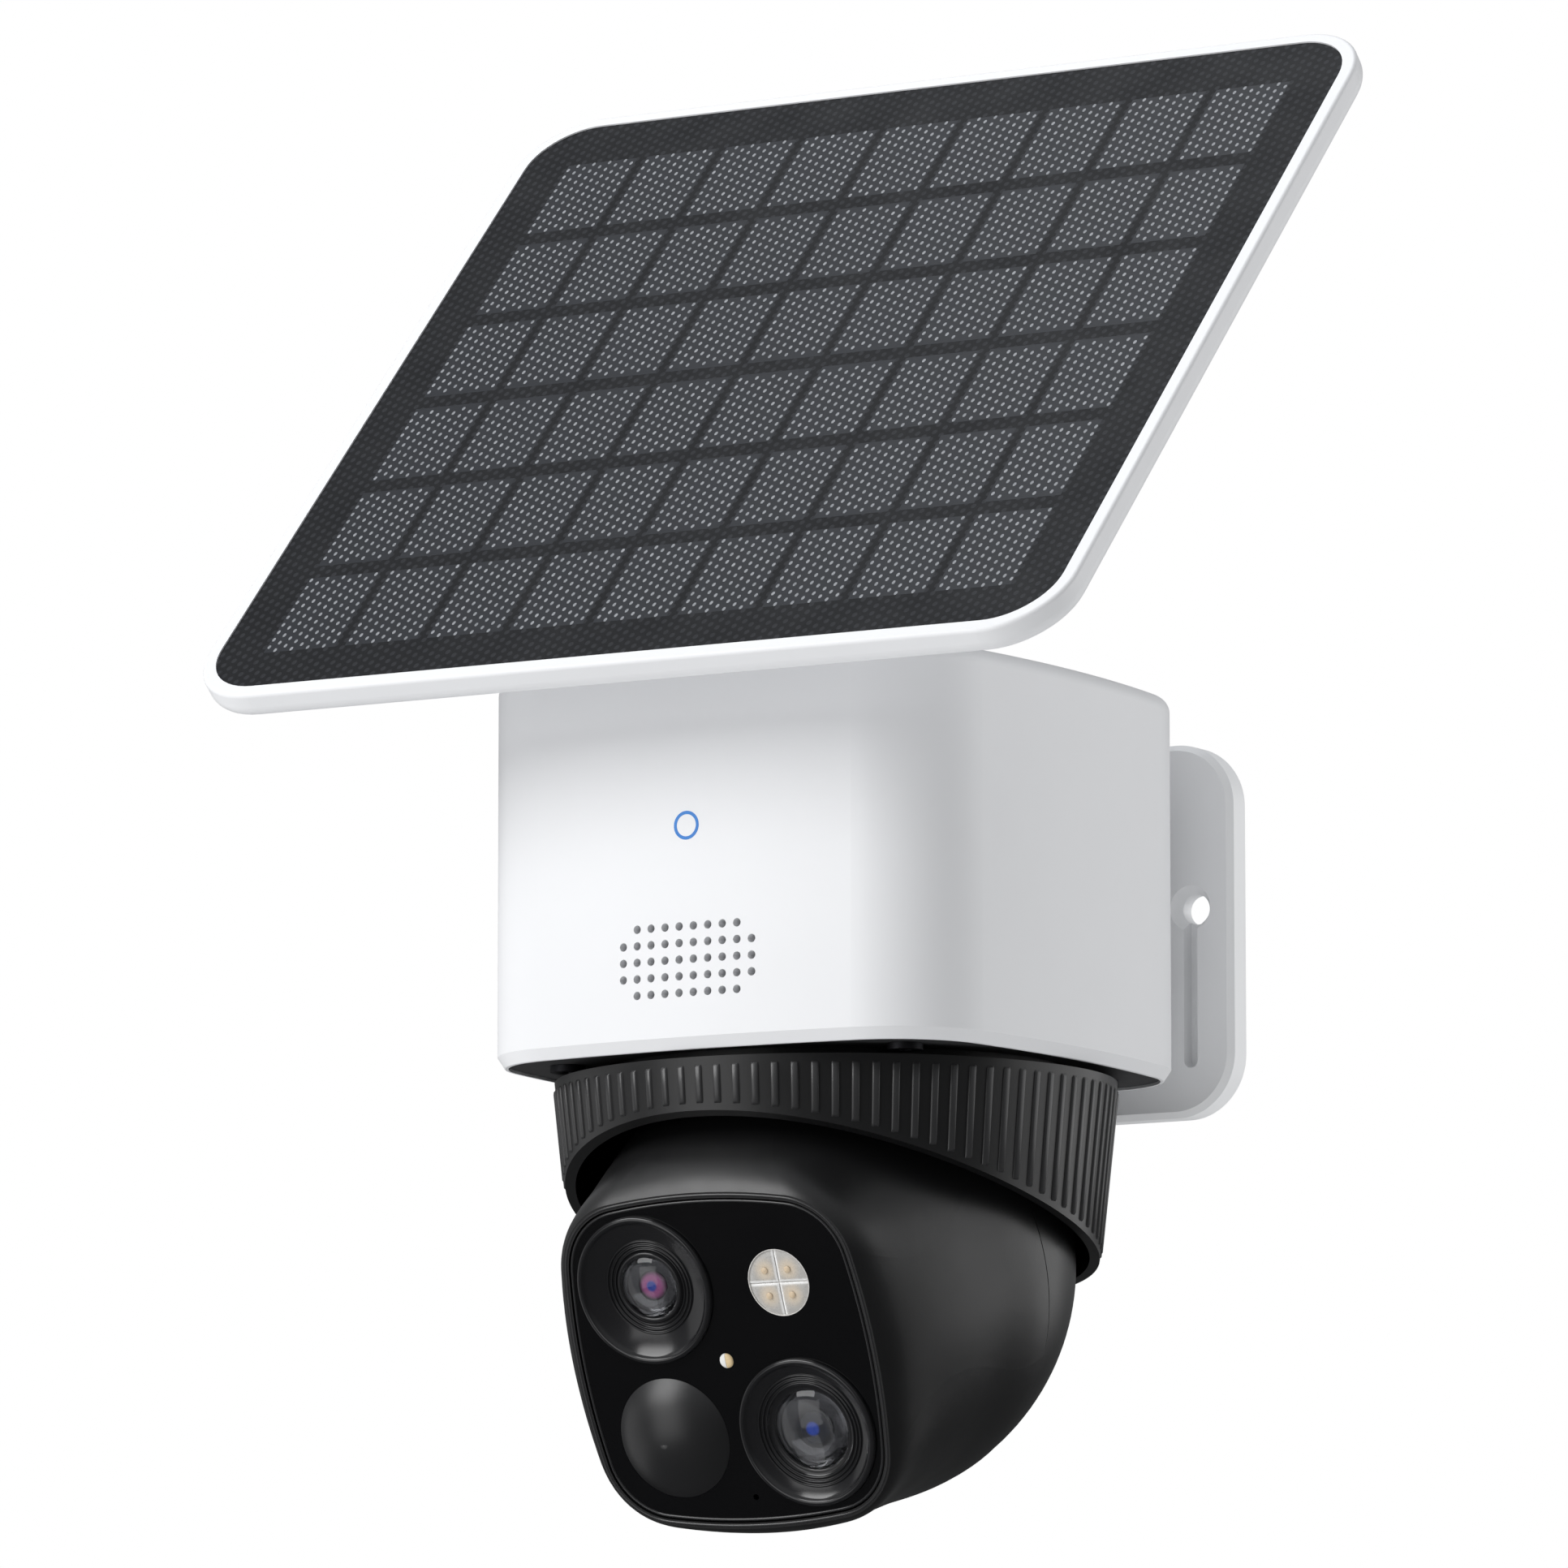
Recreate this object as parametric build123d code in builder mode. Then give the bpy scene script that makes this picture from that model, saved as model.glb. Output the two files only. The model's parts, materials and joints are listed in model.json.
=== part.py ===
from build123d import *
import os
from math import asin, cos, pi, radians, sin, sqrt

# Solar security camera on a wall bracket. Millimetres and degrees, +Z up.
# The origin lies midway between the bracket's two screw holes, on its back face.
# The wall is at +Y and the camera looks along -Y. Heights marked "up" are measured from the
# housing's bottom rim, and depths marked "back" from the pan axis towards the wall.

# ---------------------------------------------------------------- driving dimensions
pan_y = -50.4
rim_z = -27.6

bracket_width, bracket_height, bracket_thick = 82.0, 56.0, 4.4
bracket_corner, bracket_middle_up = 9.5, 24.3
hole_radius, hole_mouth_radius, hole_spacing = 2.25, 3.4, 68.0
groove_width, groove_length, groove_depth = 2.3, 22.8, 2.4
hook_bottom_up, hook_height = 28.0, 14.0
hook_neck, hook_head, hook_head_back, hook_neck_back = 16.0, 24.0, 38.0, 41.0
hook_play, mouth_bottom_up = 0.4, 9.4

housing_half, housing_bow, housing_corner = 42.0, 200.0, 16.0
housing_height, housing_wall, housing_roof = 57.2, 2.2, 2.2
bottom_bevel, bottom_inset = 1.7, 1.1
socket_half, socket_front, socket_back, socket_bottom_up, socket_height = 17.0, 34.5, 43.6, 5.0, 43.0
grille_rows, grille_pitch, grille_hole, grille_up = (8, 10, 10, 10, 8), 2.4, 0.62, 12.9
ring_radius, ring_stroke, ring_up = 2.1, 0.5, 32.3
port_width, port_height, port_up = 18.0, 10.0, 24.8
button_radius, button_back, button_up = 3.0, -16.0, 24.8

hood_top_radius, hood_taper, hood_top_up, hood_wall = 41.3, 6.0, -1.2, 1.5
hood_edge_front, hood_edge_middle, hood_edge_rear, hood_reach = -6.4, -22.9, -31.15, 46.0
cup_radius, cup_wall, cup_roof_up = 32.0, 2.2, 9.5
hub_radius, bearing_radius = 7.0, 11.0
speaker_back = -35.4
chassis_up, plate_thick = 16.5, 2.0
pan_module, pan_gear_teeth, pan_pinion_teeth, pan_pinion_angle = 0.8, 54, 12, 45.0

ball_radius, shell_wall, ball_up = 35.1, 2.0, -28.15
face_tilt, face_reach, face_drop, face_half = 21.6, 34.7, 3.5, 24.2
face_bow, face_corner, rim_width = 100.0, 10.0, 1.1
head_bulge, head_squareness, head_droop = 1.45, 5.0, 2.5
feature_offset, lens_radius, pir_radius, lamp_radius = 11.2, 11.1, 9.0, 5.0
upper_glass_radius, lower_glass_radius = 4.5, 5.9
axle_radius, fit_gap = 2.5, 0.05
arm_angle, arm_half_thick, arm_width = 113.0, 3.5, 11.0
slot_start, slot_end, slot_half = 110.0, 203.0, 5.0
tilt_module, tilt_gear_teeth, tilt_pinion_teeth, tilt_pinion_angle = 0.6, 44, 10, 240.0

panel_width, panel_depth, panel_thick, panel_tilt = 146.3, 142.3, 4.8, 46.03
panel_corner, bezel = 12.0, 2.2
panel_centre_back, panel_centre_up = -15.49, 104.12
cell_rows, cell_columns, cell_pitch_x, cell_pitch_y = 6, 9, 14.17, 20.45
cell_width, cell_depth, cell_drop = 12.5, 17.6, 0.9
hinge_drop, swivel_back, hinge_radius, hinge_bolt_radius = 11.2, -4.0, 6.0, 2.0

# ---------------------------------------------------------------- planes
face_normal = Vector(0, -cos(radians(face_tilt)), -sin(radians(face_tilt)))
face_up = Vector(0, -sin(radians(face_tilt)), cos(radians(face_tilt)))
ball_centre = Vector(0, pan_y, rim_z + ball_up)
panel_normal = Vector(0, -sin(radians(panel_tilt)), cos(radians(panel_tilt)))
panel_centre = Vector(0, pan_y + panel_centre_back, rim_z + panel_centre_up)
panel_bottom = panel_centre - panel_normal * panel_thick
hinge_axis_point = panel_bottom - panel_normal * hinge_drop


def level(up, x=0.0, back=0.0):
    """Horizontal plane at a height above the rim, its origin on the pan axis unless moved."""
    return Plane(origin=(x, pan_y + back, rim_z + up))


def side(x=0.0):
    """Upright plane facing +X, whose axes are back and up from the pan axis and the rim."""
    return Plane(origin=(x, pan_y, rim_z), x_dir=(0, 1, 0), z_dir=(1, 0, 0))


def facing(back):
    """Upright plane facing the viewer at -Y, whose axes are +X and up."""
    return Plane(origin=(0, pan_y + back, rim_z), x_dir=(1, 0, 0), z_dir=(0, -1, 0))


def head_plane(out, x=0.0, up=0.0):
    """Plane parallel to the camera face, at a distance out from the ball's centre."""
    origin = ball_centre + face_normal * out + face_up * up + Vector(x, 0, 0)
    return Plane(origin=origin, x_dir=(1, 0, 0), z_dir=face_normal)


def face_point(x, up, out=0.0):
    """Plane at a point of the camera face, measured from the face's middle."""
    return head_plane(face_reach + out, x, up - face_drop)


def spot_side(spot):
    """Plane through a spot's own axis; its first axis is +X, its second runs out of the face."""
    return Plane(origin=face_point(*spot).origin, x_dir=(1, 0, 0), z_dir=face_up * -1)


def head_side(x=0.0):
    """Plane across the tilt axis: its first axis runs out of the face, its second up the face."""
    return Plane(origin=ball_centre + Vector(x, 0, 0), x_dir=face_normal, z_dir=(-1, 0, 0))


def panel_plane(out):
    """Plane parallel to the solar panel, at a distance out from its top surface."""
    return Plane(origin=panel_centre + panel_normal * out, x_dir=(1, 0, 0), z_dir=panel_normal)


# ---------------------------------------------------------------- shared outlines
def bowed_square(half, bow, corner, inset=0.0):
    """Square with gently bowed sides and round corners, made of eight tangent arcs."""
    shift = bow - half
    reach = bow - corner
    middle = (sqrt(2 * reach**2 - shift**2) - shift) / 2
    side_radius = bow - inset
    corner_radius = corner - inset
    joint_x = side_radius * (middle + shift) / reach - shift
    joint_y = side_radius * middle / reach
    diagonal = middle + corner_radius * sqrt(0.5)
    with BuildSketch() as outline:
        with BuildLine():
            for turn in range(4):
                quarter = Rotation(0, 0, 90 * turn)
                start, crown, end, tip, last = [
                    (quarter * Pos(*point)).position
                    for point in (
                        (joint_x, -joint_y),
                        (half - inset, 0),
                        (joint_x, joint_y),
                        (diagonal, diagonal),
                        (joint_y, joint_x),
                    )
                ]
                ThreePointArc(start, crown, end)
                ThreePointArc(end, tip, last)
        make_face()
    return outline.sketch


def gear_outline(teeth, module, first_angle):
    """Toothed outline with straight flanks and backlash; one tooth points at first_angle."""
    pitch_radius = teeth * module / 2
    root = pitch_radius - 1.15 * module
    tip = pitch_radius + 0.9 * module
    pitch_angle = 2 * pi / teeth
    points = []
    for tooth in range(teeth):
        middle = radians(first_angle) + tooth * pitch_angle
        for radius, share in ((root, -0.31), (tip, -0.105), (tip, 0.105), (root, 0.31)):
            angle = middle + share * pitch_angle
            points.append((radius * cos(angle), radius * sin(angle)))
    with BuildSketch() as outline:
        with BuildLine():
            Polyline(*points, close=True)
        make_face()
    return outline.sketch


def cap_arc(radius, base, crown):
    """Arc of a spherical cap, from its edge on the base up to its crown on the axis."""
    sphere = (radius**2 + crown**2) / (2 * crown)
    half_angle = asin(radius / sphere) / 2
    middle = (sphere * sin(half_angle), base + crown - sphere * (1 - cos(half_angle)))
    return ThreePointArc((radius, base), middle, (0, base + crown))


def write(piece, name):
    """Label a finished piece and export it under the same name."""
    piece.part.label = name
    export_step(piece.part, f"parts/{name}.step")


os.makedirs("parts", exist_ok=True)

# ================================================================ wall bracket
wall_side = Plane(origin=(0, 0, rim_z + bracket_middle_up), x_dir=(1, 0, 0), z_dir=(0, -1, 0))
hole_y = -rim_z - bracket_middle_up
with BuildPart() as wall_bracket:
    with BuildSketch(wall_side):
        RectangleRounded(bracket_width, bracket_height, bracket_corner)
    extrude(amount=bracket_thick)
    chamfer(wall_bracket.faces().sort_by(Axis.Y)[0].edges(), 0.9)
    with BuildSketch(wall_side.offset(bracket_thick)):
        with Locations((-hole_spacing / 2, hole_y), (hole_spacing / 2, hole_y)):
            with Locations((0, -groove_length / 2)):
                Rectangle(groove_width, groove_length)
            with Locations((0, -groove_length)):
                Circle(groove_width / 2)
    extrude(amount=-groove_depth, mode=Mode.SUBTRACT)
    for hole_x in (-hole_spacing / 2, hole_spacing / 2):
        with Locations(wall_side.offset(bracket_thick) * Pos(hole_x, hole_y)):
            CounterSinkHole(hole_radius, hole_mouth_radius, counter_sink_angle=60)
    with BuildSketch(level(hook_bottom_up)):
        with Locations((0, (hook_neck_back - pan_y - bracket_thick + 0.5) / 2)):
            Rectangle(hook_neck, -pan_y - bracket_thick + 0.5 - hook_neck_back)
        with Locations((0, (hook_head_back + hook_neck_back) / 2)):
            Rectangle(hook_head, hook_neck_back - hook_head_back)
    extrude(amount=hook_height)
write(wall_bracket, "wall_bracket")

# ================================================================ housing
with BuildPart() as housing_shell:
    for up, inset in ((0, bottom_inset), (bottom_bevel, 0)):
        with BuildSketch(level(up)):
            add(bowed_square(housing_half, housing_bow, housing_corner, inset))
    loft()
    with BuildSketch(level(bottom_bevel)):
        add(bowed_square(housing_half, housing_bow, housing_corner))
    extrude(amount=housing_height - bottom_bevel)
    fillet(housing_shell.faces().sort_by(Axis.Z)[-1].edges(), 2.4)
    fillet(housing_shell.faces().sort_by(Axis.Z)[0].edges(), 0.25)
    with BuildSketch(level(0)):
        add(bowed_square(housing_half, housing_bow, housing_corner, housing_wall))
    extrude(amount=housing_height - housing_roof, mode=Mode.SUBTRACT)
    with BuildSketch(level(0)):
        add(bowed_square(housing_half, housing_bow, housing_corner, bottom_inset + 0.5))
    extrude(amount=2.4, mode=Mode.SUBTRACT)
    with BuildSketch(facing(-housing_half + housing_wall + 1)):
        for row, count in enumerate(grille_rows):
            with Locations((0, grille_up + (row - 2) * grille_pitch)):
                with GridLocations(grille_pitch, grille_pitch, count, 1):
                    Circle(grille_hole)
    extrude(amount=housing_wall + 2, mode=Mode.SUBTRACT)
    with BuildSketch(facing(-housing_half + 0.8)):
        with Locations((0, ring_up)):
            Circle(ring_radius)
            Circle(ring_radius - ring_stroke, mode=Mode.SUBTRACT)
    extrude(amount=2, mode=Mode.SUBTRACT)
    with BuildSketch(level(housing_height, back=swivel_back)):
        Circle(8.3)
    extrude(amount=-2 * housing_roof, mode=Mode.SUBTRACT)
    with BuildSketch(facing(housing_half - 5)):
        with Locations((0, socket_bottom_up + socket_height / 2)):
            Rectangle(2 * socket_half + 0.4, socket_height + 0.4)
    extrude(amount=-10, mode=Mode.SUBTRACT)
    with BuildSketch(side(-housing_half - 1)):
        with Locations((0, port_up)):
            Rectangle(port_width + 0.6, port_height + 0.6)
        with Locations((button_back, button_up)):
            Circle(button_radius + 0.3)
    extrude(amount=housing_wall + 2, mode=Mode.SUBTRACT)
write(housing_shell, "housing_shell")

post_spots = [(x, y) for x in (-28.5, 28.5) for y in (-28.5, 28.5)]
with BuildPart() as base_plate:
    with BuildSketch(level(0.4)):
        add(bowed_square(housing_half, housing_bow, housing_corner, bottom_inset + 0.6))
        Circle(cup_radius + cup_wall + 1.0, mode=Mode.SUBTRACT)
        with Locations(*post_spots):
            Circle(1.6, mode=Mode.SUBTRACT)
    extrude(amount=plate_thick)
write(base_plate, "base_plate")

with BuildPart() as base_screws:
    with BuildSketch(level(0.4)):
        with Locations(*post_spots):
            Circle(1.5)
    extrude(amount=9)
    with BuildSketch(level(-0.6)):
        with Locations(*post_spots):
            Circle(2.6)
            RegularPolygon(1.0, 6, mode=Mode.SUBTRACT)
    extrude(amount=0.95)
write(base_screws, "base_screws")

# The hook goes in through the wide mouth, and holds once the housing has dropped over it.
with BuildPart() as hook_socket:
    with BuildSketch(level(socket_bottom_up)):
        with Locations((0, (socket_front + socket_back) / 2)):
            Rectangle(2 * socket_half, socket_back - socket_front)
    extrude(amount=socket_height)
    with BuildSketch(level(mouth_bottom_up)):
        with Locations((0, (hook_neck_back + socket_back) / 2)):
            Rectangle(hook_neck + 2 * hook_play, socket_back - hook_neck_back + 2)
        with Locations((0, (hook_head_back + hook_neck_back) / 2)):
            Rectangle(hook_head + 2 * hook_play, hook_neck_back - hook_head_back + 2 * hook_play)
    extrude(amount=hook_bottom_up + hook_height - mouth_bottom_up + 0.1, mode=Mode.SUBTRACT)
    with BuildSketch(level(mouth_bottom_up)):
        with Locations((0, (hook_neck_back + socket_back) / 2)):
            Rectangle(hook_head + 2 * hook_play, socket_back - hook_neck_back + 2)
    extrude(amount=hook_height + 2 * hook_play, mode=Mode.SUBTRACT)
write(hook_socket, "hook_socket")

pan_distance = pan_module * (pan_gear_teeth + pan_pinion_teeth) / 2 + 0.1
pinion_x = pan_distance * cos(radians(pan_pinion_angle))
pinion_y = pan_distance * sin(radians(pan_pinion_angle))
with BuildPart() as chassis:
    with BuildSketch(level(chassis_up)):
        add(bowed_square(housing_half, housing_bow, housing_corner, housing_wall + 0.5))
        Circle(bearing_radius + 0.03, mode=Mode.SUBTRACT)
        with Locations((pinion_x, pinion_y)):
            Circle(3.0, mode=Mode.SUBTRACT)
        with Locations((0, housing_half)):
            Rectangle(2 * socket_half + 1, 2 * (housing_half - socket_front) + 1, mode=Mode.SUBTRACT)
        with Locations((0, -housing_half)):
            Rectangle(29, 2 * (housing_half + speaker_back) + 1, mode=Mode.SUBTRACT)
    extrude(amount=plate_thick)
    with BuildSketch(level(chassis_up)):
        Circle(bearing_radius + 2.2)
        Circle(bearing_radius + 0.03, mode=Mode.SUBTRACT)
    extrude(amount=5.5)
    with BuildSketch(level(0.4 + plate_thick)):
        with Locations(*post_spots):
            Circle(3.4)
    extrude(amount=chassis_up - plate_thick - 0.4)
    with BuildSketch(level(0.4 + plate_thick)):
        with Locations(*post_spots):
            Circle(1.55)
    extrude(amount=8, mode=Mode.SUBTRACT)
write(chassis, "chassis")

with BuildPart() as pan_bearing:
    with BuildSketch(level(chassis_up + 0.1)):
        Circle(bearing_radius)
        Circle(hub_radius + fit_gap, mode=Mode.SUBTRACT)
    extrude(amount=5.2)
    chamfer(pan_bearing.edges().filter_by(GeomType.CIRCLE), 0.4)
write(pan_bearing, "pan_bearing")

with BuildPart() as pan_motor:
    with BuildSketch(level(chassis_up + plate_thick, pinion_x, pinion_y)):
        Circle(11.2)
    extrude(amount=15)
    fillet(pan_motor.faces().sort_by(Axis.Z)[-1].edges(), 1.0)
    with BuildSketch(level(chassis_up + plate_thick, pinion_x, pinion_y)):
        with Locations(Rotation(0, 0, -45)):
            SlotCenterToCenter(27, 6)
    extrude(amount=1.0)
    with BuildSketch(level(chassis_up + plate_thick, pinion_x, pinion_y)):
        Circle(1.5 + fit_gap)
    extrude(amount=7, mode=Mode.SUBTRACT)
write(pan_motor, "pan_motor")

with BuildPart() as battery_cells:
    for back in (-24.0, -4.6):
        with BuildSketch(side(-32.5)):
            with Locations((back, 35.0)):
                Circle(9.2)
        extrude(amount=65)
write(battery_cells, "battery_cells")

with BuildPart() as main_board:
    with BuildSketch(facing(33.4)):
        with Locations((0, 35)):
            RectangleRounded(62, 30, 2)
    extrude(amount=1.6)
    with BuildSketch(facing(31.8)):
        with Locations((-18, 40)):
            Rectangle(14, 14)
        with Locations((2, 27)):
            Rectangle(10, 8)
    extrude(amount=1.2)
write(main_board, "main_board")

with BuildPart() as antenna_board:
    with BuildSketch(side(-38.6)):
        with Locations((4, 44)):
            RectangleRounded(30, 8, 1)
    extrude(amount=0.8)
write(antenna_board, "antenna_board")

with BuildPart() as speaker:
    with BuildSketch(facing(speaker_back)):
        with Locations((0, grille_up)):
            RectangleRounded(27, 15.5, 3)
    extrude(amount=2.4)
    with BuildSketch(facing(-37.8)):
        with Locations((0, grille_up)):
            RectangleRounded(25, 13.5, 3)
            RectangleRounded(23, 11.5, 2, mode=Mode.SUBTRACT)
    extrude(amount=1.6)
    with BuildSketch(facing(-37.8)):
        with Locations((0, grille_up)):
            SlotCenterToCenter(10, 8)
    extrude(amount=0.6)
write(speaker, "speaker")

with BuildPart() as status_ring:
    with BuildSketch(facing(-housing_half + 0.8)):
        with Locations((0, ring_up)):
            Circle(ring_radius - 0.01)
            Circle(ring_radius - ring_stroke + 0.01, mode=Mode.SUBTRACT)
    extrude(amount=0.82)
write(status_ring, "status_ring")

port_floor = -housing_half + 3.4
with BuildPart() as port_tray:
    with BuildSketch(side(port_floor + 1.4)):
        with Locations((0, port_up)):
            Rectangle(port_width + 0.4, port_height + 0.4)
    extrude(amount=-4.4)
    with BuildSketch(side(port_floor)):
        with Locations((0, port_up)):
            Rectangle(port_width - 1.0, port_height - 1.0)
    extrude(amount=-4.4, mode=Mode.SUBTRACT)
    with BuildSketch(side(port_floor)):
        with Locations((0, port_up)):
            SlotOverall(9.4, 3.6)
    extrude(amount=2, mode=Mode.SUBTRACT)
write(port_tray, "port_tray")

with BuildPart() as usb_port:
    with BuildSketch(side(port_floor + 0.2)):
        with Locations((0, port_up)):
            SlotOverall(9.2, 3.4)
            SlotOverall(8.5, 2.7, mode=Mode.SUBTRACT)
            Rectangle(6.6, 0.7)
    extrude(amount=5)
    with BuildSketch(side(port_floor + 4.6)):
        with Locations((0, port_up)):
            SlotOverall(9.2, 3.4)
    extrude(amount=0.6)
write(usb_port, "usb_port")

with BuildPart() as swivel_seal:
    with BuildSketch(level(housing_height, back=swivel_back)):
        Circle(14.5)
        Circle(12.0, mode=Mode.SUBTRACT)
    extrude(amount=0.3)
write(swivel_seal, "swivel_seal")

# ---------------------------------------------------------------- flap and button on the side
flap_width, flap_height, flap_thick = port_width - 1.6, port_height - 2.0, 1.8
flap_outer = -housing_half + 0.05
flap_pin_up = port_up + (flap_height - flap_thick) / 2
with BuildPart() as port_cover:
    with BuildSketch(side(flap_outer)) as flap_outline:
        with Locations((0, flap_pin_up)):
            Rectangle(flap_width, flap_height - flap_thick / 2, align=(Align.CENTER, Align.MAX))
        fillet(flap_outline.vertices().group_by(Axis.Y)[0], 1.2)
    extrude(amount=flap_thick)
    with Locations(Plane(origin=(flap_outer + flap_thick / 2, pan_y, rim_z + flap_pin_up), z_dir=(0, 1, 0))):
        Cylinder(flap_thick / 2, flap_width)
    with BuildSketch(side(flap_outer + flap_thick)):
        with Locations((0, port_up)):
            SlotOverall(8.2, 2.4)
            SlotOverall(7.6, 1.8, mode=Mode.SUBTRACT)
    extrude(amount=0.8)
    with BuildSketch(side(flap_outer)):
        with Locations((0, port_up - flap_height / 2 + 1.4)):
            SlotOverall(6, 1)
    extrude(amount=0.4, mode=Mode.SUBTRACT)
write(port_cover, "port_cover")

with BuildPart() as sync_button:
    with BuildSketch(side(-housing_half + 0.3)):
        with Locations((button_back, button_up)):
            Circle(button_radius)
    extrude(amount=3.2)
    fillet(sync_button.faces().sort_by(Axis.X)[0].edges(), 0.4)
    with BuildSketch(side(-housing_half + 3.5)):
        with Locations((button_back, button_up)):
            Circle(button_radius + 0.8)
    extrude(amount=0.8)
write(sync_button, "sync_button")

# ================================================================ pan unit
taper = hood_taper * pi / 180
hood_depth = 34.0
hood_bottom_radius = hood_top_radius - hood_depth * sin(taper)
with BuildPart() as pan_hood:
    with BuildSketch(side()):
        with BuildLine():
            Polyline(
                (cup_radius + cup_wall + 0.2, hood_top_up),
                (hood_top_radius, hood_top_up),
                (hood_bottom_radius, hood_top_up - hood_depth),
                (hood_bottom_radius - hood_wall, hood_top_up - hood_depth),
                (hood_top_radius - hood_wall - 0.2, hood_top_up - hood_wall),
                (cup_radius + cup_wall + 0.2, hood_top_up - hood_wall),
                close=True,
            )
        make_face()
    revolve(axis=Axis((0, pan_y, 0), (0, 0, 1)))
    with BuildSketch(side()):
        with BuildLine():
            ThreePointArc(
                (-hood_reach, hood_edge_front), (0, hood_edge_middle), (hood_reach, hood_edge_rear)
            )
            Polyline(
                (hood_reach, hood_edge_rear),
                (hood_reach, -2 * hood_reach),
                (-hood_reach, -2 * hood_reach),
                (-hood_reach, hood_edge_front),
            )
        make_face()
    extrude(amount=hood_reach, both=True, mode=Mode.SUBTRACT)
write(pan_hood, "pan_hood")

flange_up = hood_top_up - hood_wall
with BuildPart() as pan_cup:
    with BuildSketch(side()):
        with BuildLine():
            Polyline(
                (hub_radius, cup_roof_up + 14),
                (hub_radius, cup_roof_up + plate_thick),
                (cup_radius + cup_wall, cup_roof_up + plate_thick),
                (cup_radius + cup_wall, flange_up),
                (cup_radius + 5, flange_up),
                (cup_radius + 5, flange_up - plate_thick),
                (cup_radius, flange_up - plate_thick),
                (cup_radius, cup_roof_up),
                (hub_radius - 2.5, cup_roof_up),
                (hub_radius - 2.5, cup_roof_up + 14),
                close=True,
            )
        make_face()
    revolve(axis=Axis((0, pan_y, 0), (0, 0, 1)))
write(pan_cup, "pan_cup")

gear_up = cup_roof_up + plate_thick
with BuildPart() as pan_gear:
    with BuildSketch(level(gear_up)):
        add(gear_outline(pan_gear_teeth, pan_module, pan_pinion_angle + 180 / pan_gear_teeth))
        Circle(hub_radius + 0.02, mode=Mode.SUBTRACT)
        with PolarLocations(14, 6):
            Circle(4, mode=Mode.SUBTRACT)
    extrude(amount=3)
write(pan_gear, "pan_gear")

with BuildPart() as pan_retainer:
    with BuildSketch(level(chassis_up + 5.5 + 0.2)):
        Circle(hub_radius + 3)
        Circle(hub_radius + 0.02, mode=Mode.SUBTRACT)
    extrude(amount=1.2)
write(pan_retainer, "pan_retainer")

with BuildPart() as pan_pinion:
    with BuildSketch(level(gear_up, pinion_x, pinion_y)):
        add(gear_outline(pan_pinion_teeth, pan_module, pan_pinion_angle + 180))
    extrude(amount=3.4)
    with BuildSketch(level(gear_up, pinion_x, pinion_y)):
        Circle(1.5)
    extrude(amount=13)
write(pan_pinion, "pan_pinion")

arm_top_up = cup_roof_up
arm_rise = arm_top_up - ball_up
arm_top_back = -arm_rise * cos(radians(arm_angle)) / sin(radians(arm_angle))
arm_length = arm_rise / sin(radians(arm_angle))
with BuildPart() as tilt_arm:
    with BuildSketch(side(-arm_half_thick)):
        with Locations((0, ball_up)):
            Circle(6.5)
        with Locations(Location((0, ball_up, 0), (0, 0, 1), 180 - arm_angle)):
            Rectangle(arm_length - 3, arm_width, align=(Align.MIN, Align.CENTER))
        with Locations((arm_top_back, arm_top_up - 1.0)):
            Rectangle(20, 2.0)
        with Locations((0, ball_up)):
            Circle(axle_radius + 0.02, mode=Mode.SUBTRACT)
    extrude(amount=2 * arm_half_thick)
    with BuildSketch(level(arm_top_up - 2.0, back=arm_top_back)):
        RectangleRounded(24, 20, 3)
    extrude(amount=2.0)
write(tilt_arm, "tilt_arm")

with BuildPart() as tilt_axle:
    with BuildSketch(side(-13)):
        with Locations((0, ball_up)):
            Circle(axle_radius)
    extrude(amount=26)
    chamfer(tilt_axle.edges().filter_by(GeomType.CIRCLE), 0.4)
write(tilt_axle, "tilt_axle")

with BuildPart() as tilt_gear:
    with BuildSketch(head_side(arm_half_thick + 3.0)):
        add(gear_outline(tilt_gear_teeth, tilt_module, tilt_pinion_angle + 180 / tilt_gear_teeth))
        Circle(axle_radius + 0.02, mode=Mode.SUBTRACT)
    extrude(amount=3.0)
write(tilt_gear, "tilt_gear")

# ================================================================ camera head
sections_out = (-6.0, 0.0, 9.0, 18.0, 25.0, 30.0, 33.0, face_reach)


def head_section(out, inset):
    """Outline of the front shell at a distance out: round at the ball, square at the face."""
    share = max(out, 0.0) / face_reach
    rim_half = face_half + rim_width
    square = share**head_squareness
    half = rim_half + (ball_radius - rim_half) * (1 - share**head_bulge) ** (1 / head_bulge)
    bow = (half + 1) * (1 - square) + face_bow * square
    corner = (half - 1) * (1 - square) + (face_corner + rim_width) * square
    return bowed_square(half, bow, corner, inset)


def head_lofted(inset, outs):
    """Solid through the front shell's sections; the face end sits lower than the ball."""
    with BuildPart() as form:
        for out in outs:
            drop = face_drop * (max(out, 0.0) / face_reach) ** head_droop
            with BuildSketch(head_plane(out, up=-drop)):
                add(head_section(out, inset))
        loft()
    return form.part


with BuildPart() as head_front_shell:
    add(head_lofted(0, sections_out))
    with BuildSketch(head_plane(0.1)):
        Rectangle(100, 100)
    extrude(amount=-20, mode=Mode.SUBTRACT)
    add(head_lofted(shell_wall, (-6.0, 0.0, 9.0, 18.0, 25.0, 31.5)), mode=Mode.SUBTRACT)
    with BuildSketch(face_point(0, 0, -5)):
        add(bowed_square(face_half + 0.2, face_bow, face_corner + 0.2))
    extrude(amount=10, mode=Mode.SUBTRACT)
write(head_front_shell, "head_front_shell")

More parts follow.
